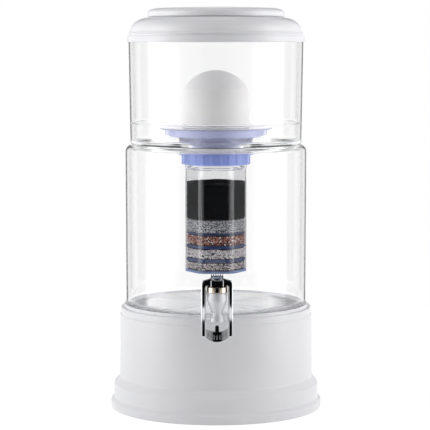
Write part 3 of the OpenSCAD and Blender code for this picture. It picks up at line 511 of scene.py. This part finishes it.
plate_z, seat_z, skirt_z, ring_z, stud_hole = 365.7, 367.7, 358.2, 356.0, 6.3
ring_in, ring_out, skirt_in, skirt_out, seat_r, foot_flange_r = 57.5, 60.0, 65.8, 67.0, 73.3, 50.0
collar_r, collar_in, collar_z, thread_pitch, thread_deep = 34.0, 31.0, 324.0, 4.0, 0.7
seat = fine(rounded([
    (stud_hole, plate_z, 0.2), (collar_in, plate_z, 0.8), (collar_in, collar_z, 0.5),
    (collar_r, collar_z, 0.6), (collar_r, ring_z + 0.05, 0.3), (foot_flange_r, ring_z + 0.05, 0.5),
    (foot_flange_r, ring_z + 2, 0.5), (collar_r, ring_z + 2, 0.5), (collar_r, plate_z, 0.6),
    (ring_in, plate_z, 0.5), (ring_in, ring_z, 0.6), (ring_out, ring_z, 0.6),
    (ring_out, plate_z, 0.5), (skirt_in, plate_z, 0.4), (skirt_in, skirt_z, 0.3),
    (skirt_out, skirt_z, 0.3), (skirt_out, plate_z, 0.5), (seat_r, plate_z, 0.7),
    (seat_r, seat_z, 0.7), (stud_hole, seat_z, 0.2),
], steps=4), 0.35, collar_z, floor_z)


def collar_thread(r, z, a):
    """Cuts the thread into the outside of the collar."""
    cut = thread_deep * thread(z, a, thread_pitch, collar_z + 1, floor_z - 1)
    return np.where((r > collar_r - 0.5) & (r < collar_r + 0.1), r - cut, r)


put("filter_seat_san", lathe(seat, 240, collar_thread), seat_san, "seat_blue", "filter_seat")

# Clear silicone, pressed in an open mould: cloudy, soft-edged and a little blue.
silicone = clear("cloudy_silicone", "#dfe0f4", density=30.0, Roughness=0.35, IOR=1.41)
uneven(silicone, 3.85, 3.0, 0.25, 0.45)
gasket_r = 48.5
put("seat_gasket_ring", lathe(rounded(oblong(
    collar_hole, gasket_r, inner_floor + 0.05, ring_z - 0.05, (0.5, 1.6, 1.6, 0.5)))),
    silicone, "clear_silicone", "seat_gasket")

# The nut is a paler mix of the same plastic, so its thick ring stays light.
nut_san = clear("lilac_tinted_san", "#9da2ee", density=5.0, body="#f6f5ff", milk=0.4,
                Roughness=0.08, IOR=1.56)
dented(nut_san, 11.1, 2.0, 0.1, 1.0)
nut_r, nut_z, notch_r, notch_at, notches = 48.0, 340.0, 2.5, 49.25, 12


def notched(r, z, a):
    """The near side of a small circle cut from the rim at equal angles: the distance at which
    the ray at angle a meets it."""
    off = (a + np.pi / notches) % (2 * np.pi / notches) - np.pi / notches
    reach = np.clip(notch_r ** 2 - (notch_at * np.sin(off)) ** 2, 0, None)
    bite = np.where(reach > 0, notch_at * np.cos(off) - np.sqrt(reach), nut_r)
    return np.where(r > nut_r - 4, r - np.clip(nut_r - bite, 0, None), r)


put("lock_nut_ring", lathe(rounded(oblong(
    collar_hole, nut_r, nut_z, floor_z - 0.05, (0.6, 0.9, 0.6, 0.4))), 480, notched),
    nut_san, "lock_nut_lilac", "lock_nut")


# ---- The ceramic dome ----------------------------------------------------------------------
# A slip-cast, fired and unglazed ceramic cap, glued to a white plastic disc. The disc's hollow
# stud passes through the seat and is held by a washer and a dark wing nut.

# Unglazed filter ceramic: chalky, without a highlight, with pores finer than the eye sees but
# a soft mottle and a few darker specks.
ceramic = material("unglazed_filter_ceramic", "#f8f4f5", Roughness=0.85, IOR=1.5)
dented(ceramic, 0.625, 3.0, 0.25, 0.2)
tree, shader, place = parts(ceramic)
mottle = node(tree, "TexNoise", {"Vector": place, "Scale": 1000 / 18.2, "Detail": 5.0,
                                 "Roughness": 0.6})
body = node(tree, "Mix", {0: mottle, 6: linear("#eae8e8"), 7: linear("#f4f3f4")}, data_type="RGBA")
speck = node(tree, "TexVoronoi", {"Vector": place, "Scale": 1000 / 2.38})
spots = node(tree, "MapRange", {"Value": speck, "From Min": 0.05,
                                "From Max": 0.16, "To Min": 0.35, "To Max": 0.0})
fired = node(tree, "Mix", {0: spots, 6: body, 7: linear("#d9d2c8")}, data_type="RGBA")
tree.links.new(fired.outputs[2], shader.inputs["Base Color"])

dome_z, dome_r, dome_top_r, dome_side_z, dome_top, dome_wall = 372.0, 45.0, 42.3, 418.0, 443.0, 9.0
cap_h = dome_top - dome_side_z
ball = (dome_top_r ** 2 + cap_h ** 2) / (2 * cap_h)
rise = np.linspace(np.arccos(dome_top_r / ball), np.pi / 2, 17)
cap = np.column_stack([ball * np.cos(rise), dome_top - ball + ball * np.sin(rise), 0 * rise])
put("dome_shell", lathe(rounded(np.vstack([
    [(dome_r - dome_wall, dome_z, 0.4), (dome_r, dome_z, 1.2), (dome_top_r, dome_side_z, 8.0)],
    cap[1:-1], [(0, dome_top, 0), (0, dome_top - dome_wall, 0)],
    [(dome_top_r - dome_wall, dome_side_z, 6.0)],
]), steps=8)), ceramic, "ceramic", "dome_ceramic")

# Food-grade polypropylene, moulded: waxy white with a soft sheen.
polypropylene = material("white_polypropylene", "#eeeeec", Roughness=0.45, IOR=1.49,
                         Subsurface_Weight=0.15, Subsurface_Radius=(0.002, 0.002, 0.002))
uneven(polypropylene, 8.33, 2.0, 0.38, 0.52)
# Glass-filled nylon for the wing nut: dark slate, with a dry satin skin.
nylon = material("slate_nylon", "#4c5063", Roughness=0.42, IOR=1.53)
mottled(nylon, 1.11, 2.0, "#44485a", "#565b70")
# Pressed nitrile rubber for the seals: near black and dull, with a bloom of grey.
rubber = material("black_nitrile_rubber", "#232326", Roughness=0.7, IOR=1.52)
mottled(rubber, 3.33, 4.0, "#1d1d20", "#303034")


def dress(made_of, *nodes):
    """Gives CAD nodes whose shape is already right their finish."""
    for name in nodes:
        for held in frame["nodes"][name].material_slots:
            held.material = made_of


dress(polypropylene, "dome_base")
dress(nylon, "dome_nut")
dress(rubber, "dome_washer")


# ---- The cartridge's cap and seal ----------------------------------------------------------
# A blue translucent cap screws up onto the seat's collar by its inner thread, and the
# housing's neck screws into the pocket under it. Grip ribs run down its side, and a flat
# silicone ring on top seals it to the lock nut.

# The same clear plastic with far more dye: deep blue, and cloudy where it is thick.
cap_san = clear("deep_blue_tinted_san", "#4a80e4", density=13.0, body="#b2c4ff", milk=0.38,
                Roughness=0.08, IOR=1.56)
dented(cap_san, 14.3, 2.0, 0.12, 1.0)

cap_z, cap_flange_z, cap_top, cap_r, cap_flange_r = 320.0, 334.0, 338.5, 44.4, 48.5
pocket_in, pocket_out, pocket_top = 37.4, 40.6, 332.3
grips, grip_high, inner_deep = 24, 0.8, 0.5


def gripped(r, z, a):
    """Adds the grip ribs, a steep-sided wave round the outside, and the two inner threads."""
    rib = np.clip(2.5 * np.cos(grips * a + np.pi) - 1.2, 0, 1)
    outside = (r > cap_r - 0.05) & (r < cap_r + 0.05) & (z < cap_flange_z - 0.2)
    bore = r < collar_hole + 0.05
    pocket = (r > pocket_out - 0.05) & (r < pocket_out + 0.05)
    r = r + grip_high * rib * outside * np.clip((z - cap_z) / 0.8, 0, 1)
    r = r + inner_deep * thread(z, a, thread_pitch, cap_z + 0.5, cap_top - 0.5) * bore
    return r + inner_deep * thread(z, a, thread_pitch, cap_z + 0.5, pocket_top - 0.5) * pocket


put("cap_moulding", lathe(fine(rounded([
    (collar_hole, cap_z, 0.4), (pocket_in, cap_z, 0.4), (pocket_in, pocket_top, 0.5),
    (pocket_out, pocket_top, 0.5), (pocket_out, cap_z, 0.4), (cap_r, cap_z, 0.8),
    (cap_r, cap_flange_z, 0.5), (cap_flange_r, cap_flange_z, 0.8), (cap_flange_r, cap_top, 0.8),
    (collar_hole, cap_top, 0.5)], steps=4), 0.4, cap_z, cap_top), 384, gripped),
    cap_san, "cap_blue", "cartridge_cap")
seal_in, seal_out, seal_foot, seal_top = 35.3, 41.3, cap_top + 0.04, cap_top + 1.16
put("cap_seal_ring", lathe(rounded(oblong(seal_in, seal_out, seal_foot, seal_top, (0.3,) * 4))),
    silicone, "clear_silicone", "cap_seal")


# ---- The cartridge's housing ---------------------------------------------------------------
# A clear six-sided tube, 2 mm thick, whose corners are bevelled flat. Its round threaded neck
# stands on a floor as wide as the cap's pocket. The bevels catch the side lights as two bright
# upright strips.


def plan(a, inset):
    """Radius of the housing's plan at angle a: of a flat side, side / cos to the nearest side's
    middle, and of a bevel, corner / cos to the nearest corner, the nearer one. The high power
    mean rounds where they meet."""
    side, corner = side_ap - inset, corner_d - inset
    to_side = np.cos((a % (np.pi / 3)) - np.pi / 6) / side
    to_corner = np.cos((a + np.pi / 6) % (np.pi / 3) - np.pi / 6) / corner
    return (to_side ** 90 + to_corner ** 90) ** (-1 / 90)


# Clear SAN: water-white, hard and glossy.
clear_san = clear("clear_san", "#d4d6ee", density=22.0, Roughness=0.03, IOR=1.57)
dented(clear_san, 25.0, 1.0, 0.1, 1.0)

side_ap, corner_d, housing_wall, housing_z, housing_top = 36.5, 40.04, 2.0, 182.05, 314.0
neck_top, neck_out, neck_in, neck_floor = 332.0, 40.3, 37.7, 316.4
turn = np.arange(480) * 2 * np.pi / 480
outer, hollow_in, bore = plan(turn, 0), plan(turn, housing_wall), plan(turn, housing_wall + 0.3)
neck = [(neck_out - inner_deep * thread(z, turn, thread_pitch, neck_floor + 3, neck_top - 0.5), z)
        for z in np.arange(housing_top + 0.5, neck_top - 0.4, 0.4)]
sections = [
    (hollow_in, housing_z), (outer - 0.3, housing_z), (outer, housing_z + 0.3),
    (outer, housing_top - 0.6), (outer + 0.2, housing_top - 0.1), (neck_out - 0.5, housing_top),
    *neck, (neck_out - 0.4, neck_top), (neck_in + 0.3, neck_top), (neck_in, neck_top - 0.3),
    (neck_in, neck_floor + 0.5), (neck_in - 0.5, neck_floor), (bore + 0.4, neck_floor),
    (bore, neck_floor - 0.4), (bore, housing_top), (hollow_in, housing_top - 0.5),
]
put("housing_tube", loft(np.array([about_z(r, turn, z) for r, z in sections])),
    clear_san, "housing_clear", "cartridge_housing")


# ---- The filling and the felts -------------------------------------------------------------
# From the bottom: small pale stones, felt, ceramic balls, felt, red minerals with pale chips,
# felt, grey zeolite and black carbon. Each bed is a core with one layer of real grains packed
# against the housing, since deeper ones can't be seen. In all but the carbon the core is painted
# a dark colour, the shade that falls in the gaps between grains. Needled blue felt parts them.


def icosahedron():
    """A grain before it is scaled and turned: twelve points and twenty faces."""
    build = bmesh.new()
    bmesh.ops.create_icosphere(build, subdivisions=1, radius=1)
    points = np.array([v.co for v in build.verts])
    faces = np.array([[v.index for v in face.verts] for face in build.faces])
    build.free()
    return points, faces


def pellet(rings=5, span=8):
    """A small ball: rings of points at equal angles between two poles."""
    rise = np.linspace(-np.pi / 2, np.pi / 2, rings + 2)[:, None]
    points, faces = loft(about_z(np.cos(rise), np.arange(span) * 2 * np.pi / span, np.sin(rise)))
    return points, np.array(faces)


def scattered(template, centres, size, squash, seed):
    """One copy of the template at each centre: p = centre + turn * (scale * point), with a
    random turn from a unit quaternion and a random scale along each axis."""
    points, faces = template
    rng = np.random.default_rng(seed)
    count = len(centres)
    quaternion = rng.normal(size=(count, 4))
    w, x, y, z = (quaternion / np.linalg.norm(quaternion, axis=1, keepdims=True)).T
    turned = np.array([
        [1 - 2 * (y * y + z * z), 2 * (x * y - w * z), 2 * (x * z + w * y)],
        [2 * (x * y + w * z), 1 - 2 * (x * x + z * z), 2 * (y * z - w * x)],
        [2 * (x * z - w * y), 2 * (y * z + w * x), 1 - 2 * (x * x + y * y)]])
    scale = size / 2 * rng.uniform(1 - squash, 1, size=(count, 1, 3))
    placed = centres[:, None] + np.einsum("ijn,nkj->nki", turned, points * scale)
    index = faces + len(points) * np.arange(count)[:, None, None]
    return placed.reshape(-1, 3), index.reshape(-1, faces.shape[1]).tolist()


def packed(low, high, size, seed):
    """Centres of grains against the housing: rows spaced 0.87 of a grain, each walked round the
    plan in equal steps, every other row half a step on, and all nudged a little."""
    rng = np.random.default_rng(seed)
    inset = bed_inset + size * 0.48
    a = np.linspace(0, 2 * np.pi, 2881)
    line = plan(a, inset)[:, None] * np.column_stack([np.cos(a), np.sin(a)])
    walked = np.concatenate([[0], np.cumsum(np.linalg.norm(np.diff(line, axis=0), axis=1))])
    along = int(walked[-1] / (size * 0.97))
    rows = max(int((high - low - size) / (size * 0.87)) + 1, 1)
    row, step = np.meshgrid(np.arange(rows), np.arange(along), indexing="ij")
    at = (step + row % 2 / 2 + rng.uniform(-0.18, 0.18, row.shape)) / along % 1 * walked[-1]
    across, up = (np.interp(at, walked, line[:, k]).ravel() for k in range(2))
    share = (row.ravel() + 0.5) / rows + rng.uniform(-0.25, 0.25, row.size) / rows
    inward = 1 - rng.uniform(0, 0.012, row.size)
    height = low + size / 2 + share * (high - low - size)
    return np.column_stack([across * inward, up * inward, height])


def core(low, high, inset, edge=0.8, bulge=0.0):
    """A bed's or pad's solid: the plan at each height, its edges rounded, its side swollen by
    a half sine, closed to a point at both ends."""
    a = np.arange(360) * 2 * np.pi / 360
    t = np.linspace(0, np.pi / 2, 4)
    rise, pull = edge * (1 - np.cos(t)), edge * (1 - np.sin(t))
    side = np.linspace(low + edge, high - edge, 7)[1:-1]
    height = np.concatenate([low + rise, side, high - rise[::-1]])
    inward = inset + np.concatenate([pull, 0 * side, pull[::-1]])
    swell = bulge * np.sin(np.pi * (height - low) / (high - low))
    rings = [about_z(plan(a, far), a, z) for far, z in zip(inward - swell, height)]
    return loft(np.array([about_z(0, a, low), *rings, about_z(0, a, high)]))


def together(first, second):
    """Two shapes as one."""
    return (np.vstack([first[0], second[0]]),
            list(first[1]) + [[v + len(first[0]) for v in face] for face in second[1]])


def bed(name, slot, made_of, low, high, template, size, squash, seed, loose=None, smooth=False):
    """A bed: its core, the grains packed against the housing, and any loose ones on top. Each
    grain carries a random number, grain, from which its material takes its colour. The core
    carries 1, the ramp's last colour, which in most beds is a dark painted shade between the grains."""
    centres = packed(low, high, size, seed)
    if loose is not None:
        centres = np.vstack([centres, loose])
    stones = scattered(template, centres, size, squash, seed + 1)
    middle = core(low + 0.1, high - (0.1 if loose is None else 3.2), bed_inset + size * 0.62)
    number = np.random.default_rng(seed + 2).random(len(centres))
    # The core takes 1, the ramp's last colour: in most beds painted shade in the gaps between grains
    grain = np.concatenate([np.repeat(number, len(template[0])), np.ones(len(middle[0]))])
    put(name, together(stones, middle), made_of, slot, name + "_bed", edge=50 if smooth else 1,
        grain=grain.astype(np.float32))


bed_inset = 2.15
felt_lower_z, ball_z, felt_middle_z, mineral_z, felt_upper_z, zeolite_z, carbon_z, carbon_top = (
    193.4, 197.1, 211.3, 214.5, 229.0, 231.0, 249.0, 299.0)


def mineral(name, ramp, roughness, pit, bump, **sockets):
    """A material for grains: a colour for each from a ramp over its random number, darkened a
    little by a noise of pit millimetres, and a rough or a smooth surface. The ramp's last colour
    also paints the bed's core, where it stands for the shade between the grains."""
    made = material(name, ramp[0][1], Roughness=roughness, **sockets)
    tree, shader, place = parts(made)
    number = node(tree, "Attribute", attribute_name="grain")
    colours = node(tree, "ValToRGB", {"Fac": number.outputs["Fac"]})
    colours.color_ramp.interpolation = "CONSTANT"
    while len(colours.color_ramp.elements) < len(ramp):
        colours.color_ramp.elements.new(0.5)
    for stop, (start, code) in zip(colours.color_ramp.elements, ramp):
        stop.position = start
        stop.color = linear(code)
    dirt = node(tree, "TexNoise", {"Vector": place, "Scale": 1000 / pit, "Detail": 3.0})
    shade = node(tree, "MapRange", {"Value": dirt, "To Min": 0.75, "To Max": 1.15})
    tinted = node(tree, "Mix", {0: 1.0, 6: colours, 7: shade}, data_type="RGBA", blend_type="MULTIPLY")
    tree.links.new(tinted.outputs[2], shader.inputs["Base Color"])
    dented(made, pit, 3.0, bump, 0.3)
    return made


# Granular activated carbon: broken chips, black with a blue-grey glint on some faces.
carbon = mineral("activated_carbon", [(0.0, "#060608"), (0.3, "#0a0a0d"), (0.6, "#101015"),
                                      (0.85, "#1c1c24")], 0.5, 0.667, 0.5,
                 Specular_IOR_Level=0.15)
# Crushed zeolite: light grey chips with a chalky face, a few dark grey ones, and the same dark
# grey painted on the bed's core as the shade between the chips.
zeolite = mineral("crushed_zeolite", [(0.0, "#a9abb2"), (0.2, "#d9dadf"), (0.45, "#f4f4f6"),
                                      (0.7, "#e6e7ec"), (0.9, "#55565e")], 0.75, 0.909, 0.4,
                  IOR=1.5)
# Red jasper and iron-stained minerals, with white quartz chips among them and a few near-black
# ones. The near-black also paints the bed's core as the shade between the chips.
jasper = mineral("red_minerals", [(0.0, "#bd7c6c"), (0.2, "#d49d8a"), (0.38, "#a3685d"),
                                  (0.55, "#e6bcab"), (0.72, "#fbf3ee"), (0.86, "#c7958b"),
                                  (0.97, "#46282a")], 0.45, 1.43, 0.3, IOR=1.54)
# Fired ceramic balls: round, pale, slightly glazed, with a dark one here and there. The same
# dark colour paints the bed's core as the shade between the balls.
balls = mineral("fired_ceramic_balls", [(0.0, "#e6e0e3"), (0.35, "#f4f0f0"), (0.65, "#d2cace"),
                                        (0.95, "#1d1d26")], 0.4, 1.11, 0.15, IOR=1.5)
# River stones, small and tumbled: greys, sand and white, some dark. The dark colour also
# paints the bed's core as the shade between the stones.
pebbles = mineral("small_tumbled_stones", [(0.0, "#d2caca"), (0.25, "#efe8e6"), (0.5, "#b8afb2"),
                                           (0.75, "#e0d5d1"), (0.94, "#26252f")], 0.5, 1.11, 0.3,
                  IOR=1.52)

chip, sphere = icosahedron(), pellet()
# Loose chips lie on top of the carbon in low waves, 1.1 mm from crest to trough
rng = np.random.default_rng(7)
loose_count = 1900
spread = rng.uniform(-side_ap - 0.5, side_ap + 0.5, (4 * loose_count, 2))
in_housing = np.hypot(*spread.T) < plan(np.arctan2(*spread.T[::-1]), bed_inset + 0.9)
spread = spread[in_housing][:loose_count]
waves = 0.5 + 0.5 * np.sin(spread[:, 0] / 7 + 1) * np.cos(spread[:, 1] / 9)
heap = carbon_top - 0.9 - 1.1 * waves - rng.uniform(0, 0.7, len(spread))
bed("carbon", "carbon", carbon, carbon_z, carbon_top - 1.8, chip, 1.6, 0.35, 11,
    loose=np.column_stack([spread, heap]))
bed("zeolite", "zeolite", zeolite, zeolite_z, carbon_z, chip, 2.0, 0.35, 21)
bed("mineral", "red_mineral", jasper, mineral_z, felt_upper_z, chip, 3.2, 0.4, 31)
bed("ball", "ceramic_balls", balls, ball_z, felt_middle_z, sphere, 2.9, 0.04, 41, smooth=True)
bed("stone", "pale_stone", pebbles, housing_z, felt_lower_z, sphere, 2.7, 0.3, 51, smooth=True)

# Needled polyester felt: matt, navy to slate, with short fibres and lighter flecks.
felt = material("needled_blue_felt", "#3a5486", Roughness=0.95, Sheen_Weight=0.4,
                Sheen_Roughness=0.5)
tree, shader, place = parts(felt)
stretched = node(tree, "Mapping", {"Vector": place, "Scale": (1.0, 1.0, 3.0)})
fibres = node(tree, "TexNoise", {"Vector": stretched, "Scale": 1000 / 0.769,
                                 "Detail": 4.0, "Roughness": 0.7, "Distortion": 1.5})
matted = node(tree, "TexNoise", {"Vector": place, "Scale": 1000 / 6.25, "Detail": 2.0})
wool = node(tree, "Mix", {0: fibres, 6: linear("#10244f"), 7: linear("#345592")}, data_type="RGBA")
faded = node(tree, "Mix", {0: matted, 6: wool, 7: linear("#1f3b70")}, data_type="RGBA")
nap = node(tree, "Bump", {"Height": fibres, "Strength": 0.7, "Distance": 0.0004})
tree.links.new(faded.outputs[2], shader.inputs["Base Color"])
tree.links.new(nap.outputs[0], shader.inputs["Normal"])
for name, low, high in (
        ("felt_upper", felt_upper_z, zeolite_z), ("felt_middle", felt_middle_z, mineral_z),
        ("felt_lower", felt_lower_z, ball_z)):
    put(name + "_pad", core(low, high, bed_inset + 0.25, edge=0.7, bulge=0.2), felt, "felt", name)

# The bottom plate is pressed from the seat's plastic with a filler in it: a milky slate blue.
milky_san = material("milky_blue_san", "#7f95c4", Roughness=0.25, IOR=1.56,
                     Transmission_Weight=0.25)
mottled(milky_san, 11.1, 3.0, "#7289bd", "#93a7d0")
dress(milky_san, "cartridge_base")


# ---- The tap's body ------------------------------------------------------------------------
# Cast zinc, blasted and satin-chromed: a swelling urn with a flared mouth, a short neck, a
# round flange, and a threaded shank that passes through the tank's wall.


def smooth(knots, steps=10):
    """A Catmull-Rom curve through the knots: the cubic of each four neighbours."""
    p = np.vstack([knots[:1], knots, knots[-1:]])
    t = (np.arange(steps) / steps)[:, None]
    a, b, c, d = (p[k:len(p) - 3 + k, None] for k in range(4))
    curve = 0.5 * (2 * b + (c - a) * t + (2 * a - 5 * b + 4 * c - d) * t ** 2
                   + (3 * b - a - 3 * c + d) * t ** 3)
    return np.vstack([curve.reshape(-1, 2), knots[-1:]])


def at_tap(shape):
    """Moves a shape made about the spout's axis, at the height of the shank, to its place."""
    return shape[0] + [0, tap_y, tap_z], shape[1]


# Satin chrome over blasted zinc: a wide soft highlight, a fine grit and no mirror image.
satin_chrome = material("satin_chrome", "#e8e9eb", Metallic=1.0, Roughness=0.75)
uneven(satin_chrome, 11.1, 2.0, 0.68, 0.78)
dented(satin_chrome, 0.714, 3.0, 0.08, 0.1)

tap_y = -150.49
mouth, mouth_low, body_top, bore_r = 9.4, -30.0, 7.3, 4.0
seat_in, seat_low = 7.2, -7.0
side = smooth(np.array([(mouth, mouth_low + 0.6), (8.8, -25.5), (6.3, -19.8), (8.7, -12.6),
                        (12.1, -2.1), (10.5, body_top)]))
urn = lathe(np.vstack([[(bore_r + 0.6, mouth_low), (mouth - 0.7, mouth_low)], side,
                       [(seat_in, body_top), (seat_in, seat_low), (bore_r, seat_low),
                        (bore_r, mouth_low + 0.6)]]), 128)
shank_in, neck_r, flange_r, shank_r = 4.5, 6.6, 13.0, 8.0
neck_start, flange_back, flange_face, shank_end = 8.0, 28.0, 30.5, 49.6
shank_pitch, shank_deep, thread_start = 1.8, 0.5, flange_face + 1


def shank_thread(r, y, a):
    """Cuts the thread into the shank, from a little behind the flange."""
    cut = shank_deep * thread(y, a, shank_pitch, thread_start, shank_end - 0.6)
    return np.where((np.abs(r - shank_r) < 0.1) & (y > thread_start), r - cut, r)


shank = along_y(lathe(fine(rounded([
    (shank_in, neck_start, 0), (neck_r, neck_start, 0), (neck_r, flange_back, 0),
    (flange_r, flange_back, 0.8), (flange_r, flange_face, 0.4), (shank_r, flange_face, 0),
    (shank_r, shank_end, 0.8), (shank_in, shank_end, 0.3)]), 0.3, thread_start, shank_end - 0.1),
    96, shank_thread))
put("tap_casting", at_tap(worked(urn, joined=[shank])), satin_chrome, "chrome", "tap_body")

# The bonnet is nickel-plated brass, polished: a warm grey mirror.
nickel = material("polished_nickel", "#cbbfae", Metallic=1.0, Roughness=0.05)
uneven(nickel, 3.85, 3.0, 0.03, 0.07)
bonnet_r, bonnet_top, plug_r, plug_in, plug_low, stem_hole, roof_z = (
    12.8, 14.3, 7.05, 6.0, 3.3, 3.1, 8.3)
put("bonnet_ring", at_tap(lathe(rounded([
    (plug_in, plug_low, 0), (plug_r, plug_low, 0.3), (plug_r, body_top, 0),
    (bonnet_r, body_top + 0.03, 0.5), (bonnet_r, bonnet_top, 1.0), (stem_hole, bonnet_top, 0.3),
    (stem_hole, roof_z, 0), (plug_in, roof_z, 0)]), 128)), nickel, "nickel", "tap_bonnet")

# Drawn stainless steel for the stem, spring and pin: grey, and duller in streaks.
steel = material("drawn_stainless_steel", "#b9babd", Metallic=1.0, Roughness=0.28)
uneven(steel, 1.67, 2.0, 0.2, 0.38)
dress(steel, "tap_stem", "tap_spring", "tap_lever_pin")
# Turned acetal for the nut: white and a little waxy.
acetal = material("white_acetal", "#e9e9ea", Roughness=0.35, IOR=1.48)
uneven(acetal, 5.0, 2.0, 0.3, 0.42)
dress(acetal, "tap_nut")
dress(rubber, "tap_outer_washer", "tap_inner_washer", "tap_valve_seal")


# ---- The lever -----------------------------------------------------------------------------
# One zinc casting in bright chrome: a head with a thumb dish and a ridged rest, shoulders that
# fall to two flat-faced arms, and a push plate, hollow towards the front, with a round tab.
# Pushing the plate tilts the head, which lifts the stem.


def slab(corners, low, high, edge, steps=5):
    """A plate with the outline of the corners (across, up, radius), its rims rounded by edge:
    the outline drawn in by edge * (1 - sin t) at the height edge * (1 - cos t)."""
    corners = np.array(corners, float)
    corner = corners[:, :2]
    back, forth = directions(corner)
    turn = back[:, 0] * forth[:, 1] - back[:, 1] * forth[:, 0]
    normal = np.column_stack([-back[:, 1], back[:, 0]]) + np.column_stack([forth[:, 1], -forth[:, 0]])
    share = 2 / np.maximum((normal ** 2).sum(1, keepdims=True), 1e-6)
    t = np.linspace(0, np.pi / 2, steps)
    rise, pull = edge * (1 - np.cos(t)), edge * (1 - np.sin(t))
    height = np.concatenate([low + rise, high - rise[::-1]])
    rings = []
    for inward, level in zip(np.concatenate([pull, pull[::-1]]), height):
        radius = np.maximum(corners[:, 2] + np.where(turn < 0, -inward, inward), 0.05)
        line = rounded(np.column_stack([corner - normal * share * inward, radius]), 5)
        rings.append(np.column_stack([line, np.full(len(line), level)]))
    return loft(np.array(rings), closed=False)


def upright(shape):
    """Stands a slab up, with its depth towards the front."""
    return shape[0][:, [0, 2, 1]] * [1, -1, 1], shape[1]


# Bright chrome over polished zinc: a clean dark mirror, smeared a little where it is handled.
chrome = material("bright_chrome", "#dcdde0", Metallic=1.0, Roughness=0.06)
uneven(chrome, 7.69, 4.0, 0.015, 0.05)

sole, head_r, head_half, head_top, ridge_r, face_r, face_low = 14.6, 8.0, 7.9, 27.0, 9.8, 6.2, 22.2
# The head's outline is its side view, and its depth runs across
side_points, side_faces = slab([
    (-head_r, sole, 0.3), (head_r, sole, 0.3), (head_r, 21, 0.3), (ridge_r, 25.2, 0.6),
    (head_r, head_top, 0.5), (face_r, head_top, 0.5), (-head_r, face_low, 1.2)],
    -head_half, head_half, 0.9)
head = (side_points[:, [2, 0, 1]], side_faces)
arm_in, arm_out, arm_foot, arm_half, arm_top, shoulder_in, shoulder_top = (
    14.0, 19.7, -49.0, 3.0, 21.1, 6.9, 25.0)
arms = upright(slab([
    (arm_in, arm_foot, 0.6), (arm_out, arm_foot, 2.7), (arm_out, arm_top, 4.8),
    (shoulder_in, shoulder_top, 0.1), (-shoulder_in, shoulder_top, 0.1), (-arm_out, arm_top, 4.8),
    (-arm_out, arm_foot, 2.7), (-arm_in, arm_foot, 0.6), (-arm_in, sole, 2.2),
    (arm_in, sole, 2.2)], -arm_half, arm_half, arm_half / 2))

push_foot, push_top, push_half, push_t, push_y, sag_r, hollow_r = (
    -56.3, -43.1, 14.8, 3.0, 2.9, 19.06, 35.0)


def hollow(x, depth):
    """Y of the push plate: of a circle about a point far in front of it, deeper by depth."""
    return push_y - hollow_r + np.sqrt((hollow_r + depth) ** 2 - x ** 2)


def sag(x):
    """How far the push plate's edges rise at x above their middle: those of a circle."""
    return sag_r - np.sqrt(sag_r ** 2 - x ** 2)


def push_section(x):
    """The push plate cut at x: a rectangle with rounded corners between its two sagging edges."""
    front, back, foot, top = hollow(x, 0), hollow(x, push_t), push_foot + sag(x), push_top + sag(x)
    line = rounded(oblong(front, back, foot, top, (0.6,) * 4), 4)
    return np.column_stack([np.full(len(line), x), line])


push = loft(np.array([push_section(x) for x in np.linspace(-push_half, push_half, 45)]),
            closed=False)
tab_half, tab_foot, tab_top = 2.8, push_foot + 8, -34.6
tab = upright(slab(oblong(-tab_half, tab_half, tab_foot, tab_top, (0.1, 0.1, 2.7, 2.7)),
                   -push_y - push_t, -push_y, 0.6))
# Upright grip bars across the middle of the push plate
bars, bar_pitch, bar_half, bar_foot, bar_top, bar_high = [], 3.6, 0.6, 3.6, 8.8, 0.45
for x in np.arange(-3, 4) * bar_pitch:
    low, high, front = push_foot + sag(x) + bar_foot, push_foot + sag(x) + bar_top, -hollow(x, 0)
    bars.append(upright(slab(oblong(x - bar_half, x + bar_half, low, high, (0.5,) * 4),
                             front - 1, front + bar_high, 0.3)))
# Ridges of the thumb rest, as rounded teeth along the head's back edge
ridges, ridge_count, ridge_foot, ridge_top = [], 6, 25.5, head_top + 2.6
pitch = 2 * head_half / (ridge_count - 0.4)
for left in -head_half + pitch * np.arange(ridge_count) + 0.05:
    right = left + 0.6 * pitch - 0.1
    ridges.append(upright(slab(oblong(left, right, ridge_foot, ridge_top, (0.6, 0.6, 0.74, 0.74)),
                               0.1 - ridge_r, -face_r - 0.1, 0.5)))

slope = np.arctan2(head_top - face_low, face_r + head_r)
lean = np.array([[1, 0, 0], [0, np.cos(slope), -np.sin(slope)], [0, np.sin(slope), np.cos(slope)]])
middle = np.array([0, (face_r - head_r) / 2, (face_low + head_top) / 2])


def on_face(shape):
    """Lays a shape made about Z on the sloping face of the head."""
    return shape[0] @ lean.T + middle, shape[1]


# The thumb dish, a shallow bowl with a raised rim
rim_r, rim_thick, dish_r, dish_deep = 6.3, 0.42, 5.95, 0.7
t = np.linspace(0, 2 * np.pi, 13)[:-1]
rim = on_face(lathe(np.column_stack([rim_r + rim_thick * np.cos(t), 0.08 + rim_thick * np.sin(t)]),
                    72))
r = np.linspace(0, dish_r, 9)
bowl = np.column_stack([r, -dish_deep * (1 - (r / (dish_r + 0.1)) ** 2)])
dish = on_face(lathe(np.vstack([bowl, [(dish_r, 4), (0, 4)]]), 72))
# The slot that the stem comes up in, and the hole for the pin
slot_half, slot_length, slot_top, pin_r, pin_z, pin_end = 3.3, 4.5, 21.3, 1.5, 18.0, 10.0
slot_plan = np.array(oblong(-slot_half, slot_half, -slot_length, slot_length))
stem_slot = loft(np.array([slot_plan + [0, 0, z] for z in (sole - 1, slot_top)]), closed=False)
pin_points, pin_faces = lathe(rounded(oblong(0, pin_r, -pin_end, pin_end)), 32)
pin_hole = (pin_points[:, [2, 1, 0]] * [1, 1, -1] + [0, 0, pin_z], pin_faces)
lever = worked(head, joined=[arms, push, tab, *bars, *ridges, rim],
               cut=[dish, stem_slot, pin_hole])
put("lever_casting", at_tap(lever), chrome, "chrome", "tap_lever")
